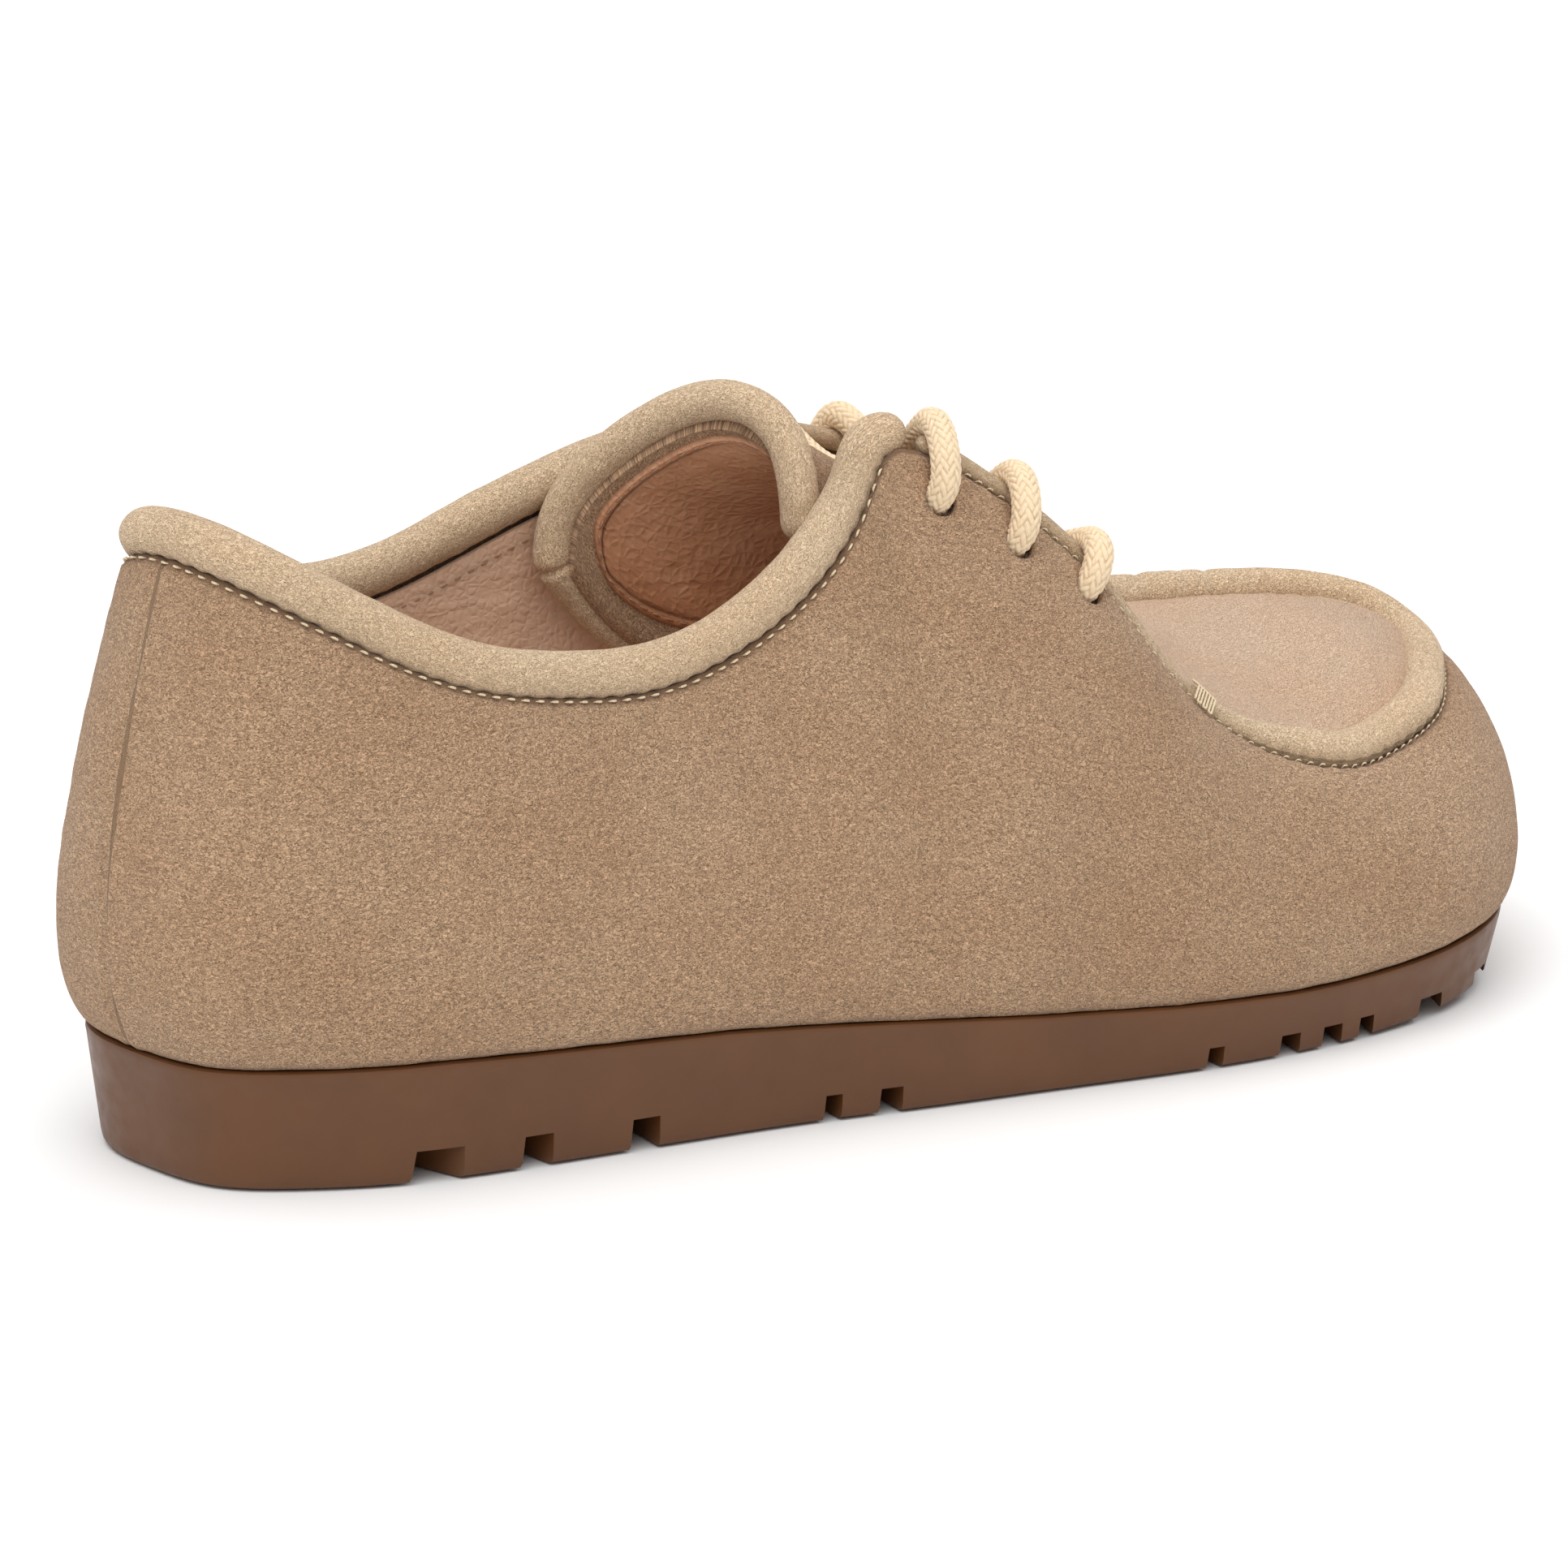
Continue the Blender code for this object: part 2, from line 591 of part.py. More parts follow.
def build_tongue():
    """The tongue turns about a crosswise line where it is sewn in at the throat."""
    pivot = bpy.data.objects.new("tongue_hinge", None)
    pivot.location = Vector(placed([TONGUE_HINGE])[0])
    bpy.context.scene.collection.objects.link(pivot)
    bpy.context.view_layer.update()
    suede = material("tongue_suede", (0.60, 0.42, 0.27), 0.95)
    foam = material("tongue_foam", (0.8, 0.75, 0.6), 0.95)
    leather = material("tongue_leather", PINK_TAN, 0.6)
    roll = material("tongue_roll_suede", ROLL_TAN, 0.95)
    cord = material("tongue_roll_cord", (0.8, 0.76, 0.68), 0.8)
    across = np.linspace(0, 4, 13)
    downs = np.linspace(TONGUE_START, 5, 10)
    layers = (("tongue_outer", across, downs, 0.0, 1.2, suede),
              ("tongue_padding", across[1:-1], downs[1:-1], 1.5, 2.3, foam),
              ("tongue_lining", across, downs[:-1], 4.1, 0.9, leather))
    for name, columns, rows, depth, thickness, finish in layers:
        shell(name, tongue_layer(columns, rows, depth), tongue_layer(columns, rows, depth + thickness),
              finish, False, pivot)
    path = tongue_surface(np.linspace(0, 4, 26), 0)
    sleeve("tongue_piping", path, TONGUE_ROLL, TONGUE_ROLL * BORE_SHARE, 8, roll, pivot)
    rod("tongue_cord", path[1:-1], TONGUE_ROLL * CORD_SHARE, 6, cord, pivot)


def hole_stops(hole, inward=True, returns=True):
    """Points of the lace over the flap's edge, down through a hole and back under the edge."""
    centre, normal = hole_frame(hole)
    station = [hole[0]]
    edge = wall(station, 1.0)[0]
    past = beyond(station)[0]
    edge_normal = wall_normal(station, 1.0)[0]
    inward_run = unit(centre - edge)
    stops = [edge + past * 6.6 - edge_normal * 0.6, edge + edge_normal * 3.0 + past * 2.8,
             edge + inward_run * 1.6 + edge_normal * 3.9, centre - inward_run * 1.7 + normal * 3.4,
             centre + normal * 1.2, centre - normal * 2.1]
    if returns:
        stops += [centre - normal * 8.0, edge - edge_normal * 9.4 - past * 1.0]
    else:
        stops += [centre - normal * 5.5, centre - normal * 9.2]
    return stops if inward else stops[::-1]


def throat_point(outer, inner, share, rise):
    """A point in the throat between two holes; the share runs from the outer hole to the inner one."""
    near, far = hole_frame(outer)[0], hole_frame(inner)[0]
    middle = near + (far - near) * share
    across = np.linspace(0, 4, 17)
    sheet = np.concatenate([tongue_surface(across, down) for down in np.linspace(0.3, 4, 20)])
    nearest = sheet[np.argmin(np.hypot(sheet[:, 0] - middle[0], sheet[:, 1] - middle[1]))]
    return np.array([middle[0], middle[1], nearest[2] + rise])


def lace_route():
    """One lace: a bar over the front row, then both ends cross twice on their way up the throat."""
    outer_1, outer_2, outer_3 = OUTER_HOLES
    inner_1, inner_2, inner_3 = INNER_HOLES
    shares_in = (0.3, 0.5, 0.7)
    shares_out = (0.7, 0.5, 0.3)

    def crossing(outer, inner, shares, rises):
        return [throat_point(outer, inner, share, rise) for share, rise in zip(shares, rises)]

    bar = crossing(outer_3, inner_3, shares_in, (9.5, 8.5, 9.5))
    low_front = crossing(outer_3, inner_2, shares_in, (4.6, 4.4, 7.5))
    high_front = crossing(outer_2, inner_3, shares_out, (5.0, 9.8, 9.5))
    high_top = crossing(outer_1, inner_2, shares_out, (5.0, 9.8, 9.5))
    low_top = crossing(outer_2, inner_1, shares_in, (4.6, 4.4, 7.5))
    outer_end, inner_end = ([wall([station], height, 9.6)[0] for station, height in end]
                            for end in LACE_ENDS)
    to_outer_end = low_front + hole_stops(inner_2) + high_top + hole_stops(outer_1, True, False) + outer_end
    to_inner_end = high_front + hole_stops(outer_2) + low_top + hole_stops(inner_1, True, False) + inner_end
    front = hole_stops(outer_3, False) + bar + hole_stops(inner_3)
    return np.array(to_outer_end[::-1] + front + to_inner_end)


def spaced(path, count):
    """A smooth path through the points, with its own points closer together where it bends."""
    fine = spline(path, False)(np.linspace(0, len(path) - 1, 3000))
    steps = np.diff(fine, axis=0)
    lengths = np.linalg.norm(steps, axis=1)
    turning = np.linalg.norm(np.diff(unit(steps), axis=0), axis=1)
    turning = np.convolve(np.r_[turning, turning[-1]], np.ones(25) / 25, "same")
    run = np.r_[0, np.cumsum(lengths + 5.0 * turning)]
    return fine[np.round(np.interp(np.linspace(0, run[-1], count), run, np.arange(len(fine)))).astype(int)]


def build_lace():
    cotton = material("lace_braid", (0.75, 0.58, 0.36), 0.8)
    route = spaced(lace_route(), 84)
    curve = bpy.data.curves.new("lace", "CURVE")
    curve.dimensions = "3D"
    curve.bevel_depth = LACE_RADIUS * MM
    curve.bevel_resolution = 2
    curve.use_fill_caps = True
    line = curve.splines.new("POLY")
    body = route[3:-3]
    line.points.add(len(body) - 1)
    for point, where in zip(line.points, placed(body)):
        point.co = (*where, 1)
    curve.materials.append(cotton)
    lace = bpy.data.objects.new("lace", curve)
    bpy.context.scene.collection.objects.link(lace)
    tip = material("aglet_resin", (0.7, 0.6, 0.45), 0.3)
    for name, path in (("outer_aglet", route[:3]), ("inner_aglet", route[-3:])):
        ends = path if name.startswith("outer") else path[::-1]
        middle = ends[2] + unit(ends[0] - ends[2]) * 0.4
        rod(name, np.array([ends[0], ends[1], middle]), LACE_RADIUS * 0.8, 8, tip)


def clear():
    for piece in list(bpy.data.objects):
        bpy.data.objects.remove(piece)


def main():
    clear()
    build_outsole()
    build_sole_inside()
    build_upper()
    build_wall_layers()
    build_rolls()
    build_apron()
    build_tongue()
    build_lace()


main()
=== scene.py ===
"""The looks of a suede moccasin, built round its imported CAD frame.

The shapes are worked out in millimetres from the centre back of the sole, the way the CAD part's own design
is: +X to the toe, +Y to the inner side, +Z up. in_frame() moves them to the frame's origin, in metres.
"""
import bmesh
import bpy
import numpy as np
from math import cos, pi, radians, sin
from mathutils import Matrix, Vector


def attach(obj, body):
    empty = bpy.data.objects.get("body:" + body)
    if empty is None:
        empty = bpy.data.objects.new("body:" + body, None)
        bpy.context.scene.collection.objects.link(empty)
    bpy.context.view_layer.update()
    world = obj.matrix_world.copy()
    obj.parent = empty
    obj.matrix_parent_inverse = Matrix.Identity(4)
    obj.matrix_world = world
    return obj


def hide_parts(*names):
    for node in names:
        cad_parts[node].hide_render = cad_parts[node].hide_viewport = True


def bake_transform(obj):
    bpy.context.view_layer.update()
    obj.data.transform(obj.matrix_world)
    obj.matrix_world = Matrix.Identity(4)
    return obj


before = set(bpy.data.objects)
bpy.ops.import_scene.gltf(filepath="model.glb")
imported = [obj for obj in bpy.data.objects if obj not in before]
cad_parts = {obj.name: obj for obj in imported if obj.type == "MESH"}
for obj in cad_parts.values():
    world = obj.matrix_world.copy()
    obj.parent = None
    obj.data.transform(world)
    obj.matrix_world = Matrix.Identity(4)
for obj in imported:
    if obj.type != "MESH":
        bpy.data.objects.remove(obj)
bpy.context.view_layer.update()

MM = 0.001
ORIGIN = np.array([128.4, 0.7, 0.0])
UP = np.array([0.0, 0.0, 1.0])
DETAIL = 1.0
STEP = 1e-3  # of a station or a height, to find a direction

# Driving dimensions. The rolls and the apron's crown are fuller than the CAD part's, the lace holes smaller.
SUEDE = 1.6
LINING_DEPTH = 3.2
SOLE_TAPER = 1.8
SOLE_RIM = 8.5
TOE_SPRING = 5.0
SPRING_FROM = 195.0
SPRING_RUN = 65.0
SOLE_PLACES = [40, 88, 115, 143, 166, 190]
SOLE_HEIGHTS = [20, 18, 16, 13.6, 12.2, 11.4]
COLLAR_ROLL = 3.85
TONGUE_ROLL = 3.3
APRON_CROWN = 3.4
RING_ROLL = 3.6
FACING_ROLL = 1.6
ROLL_GAP = 0.55
ROLL_SIDES = 40
STITCH_PITCH = 3.6
BRAID_STRANDS = 12
LACE_RADIUS = 2.4
HOLE_RADIUS = 2.9
AGLET_LENGTH = 10.0
AGLET_LAP = 1.0
HEEL_PAD = (35.0, 1.0, 22.0, 15.0)
TOE = 18.0

# One row for each station, from the centre back round the outer side to the toe and home on the inner
# side: base x, y; top edge x, y, z; then the wall's bulge: low out, low up, high out, high down.
STATIONS = [
    (0, 0, 7, 0, 98, 9, 11, 11.5, 36),
    (5, -13.5, 13.5, -12.5, 95, 8.5, 11, 10, 34),
    (17, -22.5, 27, -20, 87.5, 7.5, 10, 9, 30),
    (35, -29, 46, -24, 78, 7, 9, 8, 24),
    (58, -31.5, 66, -24.5, 73.5, 7, 9, 8, 22),
    (80, -32.8, 83, -24, 73, 7, 9, 8, 22),
    (102, -34.5, 103, -21.5, 79, 7, 10, 9, 24),
    (120, -37, 120.5, -17.8, 92.5, 7, 11, 12, 24),
    (136, -39, 129, -16.5, 104.8, 7, 12, 14, 20),
    (152, -41, 147, -19, 95.5, 7, 12, 14, 14),
    (168, -43, 163, -23, 80.5, 7, 11, 13, 10),
    (184, -44, 176, -27.5, 62.5, 8, 10, 11, 6),
    (200, -43.3, 190, -30.5, 50.5, 8, 9, 9, 4),
    (214, -41.2, 204, -32, 45.5, 8, 9, 9, 3),
    (227, -37.5, 217, -28.5, 44.5, 8, 9, 9, 3),
    (239.5, -30, 233, -20, 46.5, 8, 9, 9, 4),
    (248, -18, 243, -9, 48.5, 8, 9, 9.5, 4),
    (254.5, -3, 250, 2, 49.5, 8, 9, 9.5, 4),
    (259, 11, 253, 13, 51, 8, 9, 9.5, 4),
    (259, 24, 250, 23, 53.5, 8, 10, 9.5, 5),
    (252, 36, 240, 30, 55.5, 8, 10, 9.5, 6),
    (238, 43, 226, 33, 56.8, 7, 10, 9.5, 7),
    (220, 45.5, 209, 33.5, 57.8, 7, 10, 9, 8),
    (202, 45, 193, 33, 60, 7, 10, 9, 9),
    (184, 43, 178, 33, 69.5, 7, 10, 8, 12),
    (166, 40, 163, 32.5, 82.5, 6, 11, 7, 16),
    (150, 36.5, 145, 32, 93, 6, 12, 6, 20),
    (135, 33.5, 122.5, 31, 98.2, 6, 12, 5, 24),
    (119, 31, 110, 32, 95.8, 6, 12, 4, 25),
    (102, 30, 94, 33, 91.5, 6, 12, 3, 25),
    (80, 30.5, 76, 33, 85.5, 6, 12, 3, 25),
    (58, 32, 57, 31.5, 80, 6.5, 11, 4, 25),
    (36, 33, 38, 29, 80.5, 7, 10, 6, 27),
    (17, 31, 20, 24.5, 87.5, 7.5, 10, 9, 31),
    (3, 23, 8.5, 17, 94, 8.5, 11, 10.5, 34),
    (-1.5, 11.5, 5, 8.5, 97.3, 9, 11, 11, 35),
]
TURNS = len(STATIONS)

# Where each stretch of the top edge starts and ends, in stations
OUTER_CORNER = 8.0
INNER_CORNER = 27.05
OUTER_FACING = 8.25
INNER_FACING = 26.9
OUTER_BARTACK = 11.6
INNER_BARTACK = 24.1
LINING_JOINS = (10.5, 25.0)
BACK_SEAM = -0.12
STITCHED_RING = (8.55, 26.6)
BARTACKS = (("outer_bartack", 11.25), ("inner_bartack", 24.5))

# The roll round the apron is thin along the facings and full round the toe: its radius and how far it is sunk
RING_STATIONS = [8.8, 11.0, 12.6, 23.0, 24.8, 26.8]
RING_RADII = [FACING_ROLL, FACING_ROLL + 0.2, RING_ROLL, RING_ROLL, FACING_ROLL + 0.2, FACING_ROLL]
RING_DEPTHS = [1.2, 0.9, 0.0, 0.0, 1.2, 1.4]

# Lace holes: station and height on the wall, from the top row to the front row
OUTER_HOLES = [(8.35, 0.9), (9.05, 0.89), (9.8, 0.91)]
INNER_HOLES = [(26.75, 0.9), (26.05, 0.9), (25.35, 0.9)]
LACE_END_DEPTH = 7.4
LACE_ENDS = ([(9.2, 0.73), (9.8, 0.62), (10.3, 0.57)], [(26.2, 0.76), (25.6, 0.66), (25.0, 0.6)])

# Tongue: five points across, inner edge to outer edge, from its top edge down to its base. Its inner edge
# reaches deeper into the shoe than the CAD part's, and the lace's ends lie closer to the wall to clear it.
TONGUE_ROWS = [
    [(87.5, 24.3, 82.5), (92, 22.6, 96.2), (107, 10, 109.8), (114.8, -4, 106), (116, -7.7, 89)],
    [(100, 23.5, 68), (108, 21, 92), (122, 8, 100.5), (127, -5, 98), (126, -11.5, 84)],
    [(118, 22.5, 62), (130, 19.5, 85), (140, 7, 90.5), (143, -8, 87), (141, -17, 77)],
    [(142, 22.5, 58), (152, 19, 76), (159, 6, 79), (160, -8, 74.5), (158, -18, 66)],
    [(165, 21, 56), (172, 17, 66), (176, 5, 67.5), (176, -8, 62.5), (173, -17, 55.5)],
    [(180, 19, 53), (185, 14, 56), (188, 4, 56.5), (188, -7, 52.5), (184, -16, 46.5)],
]
TONGUE_THICK = 5.0
TONGUE_FACE = (0.12, 4.6)

# Tread: where each groove meets the outer edge, its width, its depth and how far it is turned
OUTER_EDGE = 38.0
GROOVE_LENGTH = 130.0
GROOVES = [(43, 7, 5.5, 24), (57, 5, 5.5, 12), (74, 5, 5.5, 0), (107, 3, 4.5, 0), (117, 4, 4.5, 0),
           (175, 3, 3.8, 0), (190, 4, 3.8, -6), (199, 4, 3.8, -10), (206.5, 3, 3.8, -14),
           (221, 5, 3.4, -18), (233, 3, 3.0, -24)]

# Camera and light
CAMERA_AZIMUTH = 30.0
CAMERA_ELEVATION = 16.0
CAMERA_DISTANCE = 1.1
CAMERA_LENS = 155.8
CAMERA_TARGET = (-0.0171, -0.0109, 0.05)
SUNS = (("key", (-0.8, -1.0, 1.9), 1.3, 60), ("top", (0.1, 0.1, 1.8), 1.6, 90))
ROOM_LIGHT = 0.5
FLOOR_HALF = 3.0
FLOOR_DROP = 0.0004


def detail(count):
    return max(8, int(count * DETAIL))


# ---------------------------------------------------------------- the shoe's design

def spline(rows, closed):
    """A smooth curve through the rows; parameter 0, 1, 2... at each row."""
    points = np.array(rows, float)
    count = len(points)
    system = 4 * np.eye(count)
    ahead = np.roll(points, -1, 0)
    behind = np.roll(points, 1, 0)
    if closed:
        system += np.roll(np.eye(count), 1, 1) + np.roll(np.eye(count), -1, 1)
    else:
        system += np.eye(count, k=1) + np.eye(count, k=-1)
        system[0, 0] = system[-1, -1] = 2
        ahead[-1] = points[-1]
        behind[0] = points[0]
    slopes = np.linalg.solve(system, 3 * (ahead - behind))

    def at(place):
        place = np.atleast_1d(np.asarray(place, float))
        place = place % count if closed else np.clip(place, 0, count - 1)
        first = np.floor(place).astype(int)
        if not closed:
            first = np.minimum(first, count - 2)
        last = (first + 1) % count
        t = (place - first)[:, None]
        return ((2 * t**3 - 3 * t**2 + 1) * points[first] + (t**3 - 2 * t**2 + t) * slopes[first]
                + (3 * t**2 - 2 * t**3) * points[last] + (t**3 - t**2) * slopes[last])
    return at


def unit(vectors):
    return vectors / np.linalg.norm(vectors, axis=-1, keepdims=True)


stations = spline(STATIONS, True)


def spring(x):
    return TOE_SPRING * np.clip((x - SPRING_FROM) / SPRING_RUN, 0, None)**2


def sole_top(x):
    return np.interp(x, SOLE_PLACES, SOLE_HEIGHTS) + spring(x)


def base(place, inset=0.0):
    """Points of the sole's outline, moved in by the inset, and their outward directions."""
    row = stations(place)[:, :2]
    run = unit(stations(np.asarray(place) + STEP)[:, :2] - stations(np.asarray(place) - STEP)[:, :2])
    out = np.stack([run[:, 1], -run[:, 0]], 1)
    return row - out * inset, out


def wall_surface(place, height):
    """Outer face of the upper: height 0 at the sole, 1 at the top edge."""
    row = stations(place)
    height = np.broadcast_to(np.asarray(height, float), (len(row),))[:, None]
    foot, out = base(place)
    out = np.c_[out, np.zeros(len(out))]
    low = np.c_[foot, sole_top(foot[:, 0])]
    top = row[:, 2:5]
    low_bulge = low + out * row[:, 5:6] + UP * row[:, 6:7]
    top_bulge = top + out * row[:, 7:8] - UP * row[:, 8:9]
    rest = 1 - height
    return (rest**3 * low + 3 * rest**2 * height * low_bulge
            + 3 * rest * height**2 * top_bulge + height**3 * top)


def wall_normal(place, height):
    place = np.atleast_1d(np.asarray(place, float))
    along = wall_surface(place + STEP, height) - wall_surface(place - STEP, height)
    high = np.minimum(np.asarray(height, float) + STEP, 1.0)
    rising = wall_surface(place, high) - wall_surface(place, high - 2 * STEP)
    return unit(np.cross(along, rising))


def wall(place, height, depth=0.0):
    """A point of the wall, the given depth in from its outer face."""
    place = np.atleast_1d(np.asarray(place, float))
    return wall_surface(place, height) - wall_normal(place, height) * depth


def wall_grid(places, heights, depth=0.0):
    """Points and outward directions over a stretch of the wall, one row for each place."""
    return (np.stack([wall(places, height, depth) for height in heights], 1),
            np.stack([wall_normal(places, height) for height in heights], 1))


def beyond(place):
    """Direction that leaves the wall across its top edge."""
    place = np.atleast_1d(np.asarray(place, float))
    along = unit(wall_surface(place + STEP, 1.0) - wall_surface(place - STEP, 1.0))
    return unit(np.cross(wall_normal(place, 1.0), along))


def edge_roll(place, radius, depth):
    """Centre line of a piping roll that sits on the top edge."""
    reach = np.reshape(radius, (-1, 1)) + ROLL_GAP
    sunk = wall_normal(place, 1.0) * np.reshape(depth, (-1, 1))
    return wall(place, 1.0) + beyond(place) * reach - sunk


def even(start, end, count):
    """Stations from start to end, evenly spaced along the outline."""
    fine = np.linspace(start, end, 1600)
    line = stations(fine)[:, :5]
    steps = (np.linalg.norm(np.diff(line[:, :2], axis=0), axis=1)
             + np.linalg.norm(np.diff(line[:, 2:], axis=0), axis=1))
    run = np.r_[0, np.cumsum(steps)]
    return np.interp(np.linspace(0, run[-1], count), run, fine)


def ring_radius(places):
    return np.interp(places, RING_STATIONS, RING_RADII)


def ring_depth(places):
    return np.interp(places, RING_STATIONS, RING_DEPTHS)


def hole_frame(hole):
    station, height = hole
    return wall([station], height)[0], wall_normal([station], height)[0]


# ---------------------------------------------------------------- meshes

def waves(u, v, size, seed, count=14):
    """Smooth bumps between about -1 and 1 over a surface whose place is u, v in millimetres."""
    random = np.random.default_rng(seed)
    total = np.zeros(np.broadcast(u, v).shape)
    for _ in range(count):
        turn = random.uniform(0, 2 * pi)
        pitch = size * random.uniform(0.7, 1.5)
        total += np.sin((u * cos(turn) + v * sin(turn)) * 2 * pi / pitch + random.uniform(0, 2 * pi))
    return total / count**0.5 * 0.7


def bell(distance, width):
    """1 at no distance, falling away to 0 over the width."""
    return np.exp(-(distance / width)**2)


def round_turns(sides):
    return np.arange(sides) * 2 * pi / sides


def in_frame(points):
    return (np.asarray(points, float) - ORIGIN) * MM


def arc_grid(grid):
    """Lengths along the rows and up the columns of a grid of points, in millimetres."""
    along = np.linalg.norm(np.diff(grid, axis=0), axis=2).mean(1)
    across = np.linalg.norm(np.diff(grid, axis=1), axis=2)
    u = np.r_[0, np.cumsum(along)][:, None] + np.zeros(grid.shape[1])
    v = np.concatenate([np.zeros((len(grid), 1)), np.cumsum(across, axis=1)], 1)
    return u, v


def piece(name, points, faces, finish, uv=None, tone=None, sharp=35):
    """One object from points in the shoe's millimetres, with its surface place stored on it, and the values
    that set its finish's painted shade.
    """
    mesh = bpy.data.meshes.new(name)
    mesh.from_pydata(in_frame(points).tolist(), [], faces)
    if uv is not None:
        corners = np.empty(len(mesh.loops), np.int32)
        mesh.loops.foreach_get("vertex_index", corners)
        layer = mesh.uv_layers.new(name="surface")
        layer.data.foreach_set("uv", (np.asarray(uv)[corners] * MM).astype(np.float32).ravel())
    if tone is not None:
        mesh.attributes.new("tone", "FLOAT", "POINT").data.foreach_set("value", np.float32(tone).ravel())
    mesh.shade_smooth()
    mesh.set_sharp_from_angle(angle=radians(sharp))
    mesh.materials.append(finish)
    made = bpy.data.objects.new(name, mesh)
    bpy.context.scene.collection.objects.link(made)
    return made


def quads(rows, columns, wrap_rows=False, wrap_columns=False, shift=0, flip=False):
    row = np.arange(rows if wrap_rows else rows - 1)
    column = np.arange(columns if wrap_columns else columns - 1)
    row, column = (part.ravel() for part in np.meshgrid(row, column, indexing="ij"))
    after, beside = (row + 1) % rows, (column + 1) % columns
    corners = [row * columns + column, after * columns + column, after * columns + beside,
               row * columns + beside]
    if flip:
        corners.reverse()
    return (np.stack(corners, 1) + shift).tolist()


def shell(name, outer, inner, finish, closed=False, tone=None):
    """A skin between two equal grids of points; closed joins the last row to the first."""
    rows, columns = outer.shape[:2]
    half = rows * columns
    faces = quads(rows, columns, closed) + quads(rows, columns, closed, shift=half, flip=True)
    edge = np.arange(rows if closed else rows - 1)
    for column, flip in ((0, True), (columns - 1, False)):
        near = edge * columns + column
        far = ((edge + 1) % rows) * columns + column
        strip = np.stack([near, near + half, far + half, far], 1)
        faces += (strip[:, ::-1] if flip else strip).tolist()
    if not closed:
        step = np.arange(columns - 1)
        for row, flip in ((0, False), (rows - 1, True)):
            near = row * columns + step
            strip = np.stack([near, near + half, near + 1 + half, near + 1], 1)
            faces += (strip[:, ::-1] if flip else strip).tolist()
    u, v = arc_grid(outer)
    place = np.stack([u.ravel(), v.ravel()], 1)
    points = np.concatenate([outer.reshape(-1, 3), inner.reshape(-1, 3)])
    if tone is None:
        tone = np.zeros(outer.shape[:2])
    return piece(name, points, faces, finish, np.r_[place, place], np.r_[tone.ravel(), tone.ravel()], 50)


def grid_normals(grid):
    return unit(np.cross(np.gradient(grid, axis=0), np.gradient(grid, axis=1)) + 1e-12)


def frames(path):
    """Two directions across a path at each point, without twist."""
    along = unit(np.gradient(path, axis=0))
    side = np.cross(along[0], UP)
    if np.linalg.norm(side) < 0.1:
        side = np.cross(along[0], (1.0, 0, 0))
    sides = []
    for direction in along:
        side = side - direction * np.dot(side, direction)
        side = side / np.linalg.norm(side)
        sides.append(side)
    sides = np.array(sides)
    return sides, np.cross(along, sides)


def lengths(path):
    return np.r_[0, np.cumsum(np.linalg.norm(np.diff(path, axis=0), axis=1))]


def read(values, run, at):
    """Rows of values, given at the lengths in run, read at other lengths."""
    return np.stack([np.interp(at, run, column) for column in values.T], 1)


def resampled(path, count):
    run = lengths(path)
    return read(path, run, np.linspace(0, run[-1], count))


def tube(name, path, radius, sides, finish, tone=None, round_ends=True, start=0.0):
    """A closed round bar along a path.

    The radius is one number, one for each point, or one for each vertex. start is the turn, or one for each
    point, at which its first side lies.
    """
    count = len(path)
    radius = np.asarray(radius, float)
    if radius.ndim < 2:
        radius = np.repeat(np.broadcast_to(radius, count)[:, None], sides, 1)
    run = lengths(path)
    if round_ends:
        cap = np.clip(np.minimum(run, run[-1] - run)[:, None] / radius, 0, 1)
        radius = radius * np.sqrt(np.clip(1 - (1 - cap)**2, 0.0004, 1))
    across, over = frames(path)
    turn = round_turns(sides)
    spun = (turn + np.reshape(np.broadcast_to(start, count), (-1, 1)))[..., None]
    out = across[:, None] * np.cos(spun) + over[:, None] * np.sin(spun)
    loops = path[:, None] + radius[..., None] * out
    faces = quads(count, sides, False, True, flip=True)
    faces.append(list(range(sides)))
    faces.append(list(range((count - 1) * sides, count * sides))[::-1])
    uv = np.stack(np.broadcast_arrays(run[:, None], turn * radius.mean()), 2).reshape(-1, 2)
    if tone is None:
        tone = np.zeros((count, sides))
    return piece(name, loops.reshape(-1, 3), faces, finish, uv, tone, 60)


def eased(path, reach):
    """An evenly spaced path with its bends softened over the reach, in millimetres."""
    soft = max(2, int(reach / (lengths(path)[-1] / len(path))))
    kernel = np.hanning(2 * soft + 1)
    kernel /= kernel.sum()
    padded = np.pad(path, ((soft, soft), (0, 0)), mode="edge")
    return np.stack([np.convolve(column, kernel, "valid") for column in padded.T], 1)


def capped(path, count, radius):
    """An evenly spaced path whose first and last stretch are spaced closely, for round ends."""
    run = lengths(path)
    ends = radius * (1 - np.cos(np.linspace(0, pi / 2, 9)))
    at = np.r_[ends, np.linspace(ends[-1], run[-1] - ends[-1], count)[1:-1], (run[-1] - ends)[::-1]]
    return read(path, run, at)


# ---------------------------------------------------------------- materials

def linear(colour):
    """A colour from the 0 to 255 values of a screen."""
    return tuple(((part / 255 + 0.055) / 1.055)**2.4 if part > 10 else part / 255 / 12.92 for part in colour)


def opaque(colour):
    """A colour with its alpha; anything else as it is."""
    return (*colour, 1) if isinstance(colour, tuple) else colour


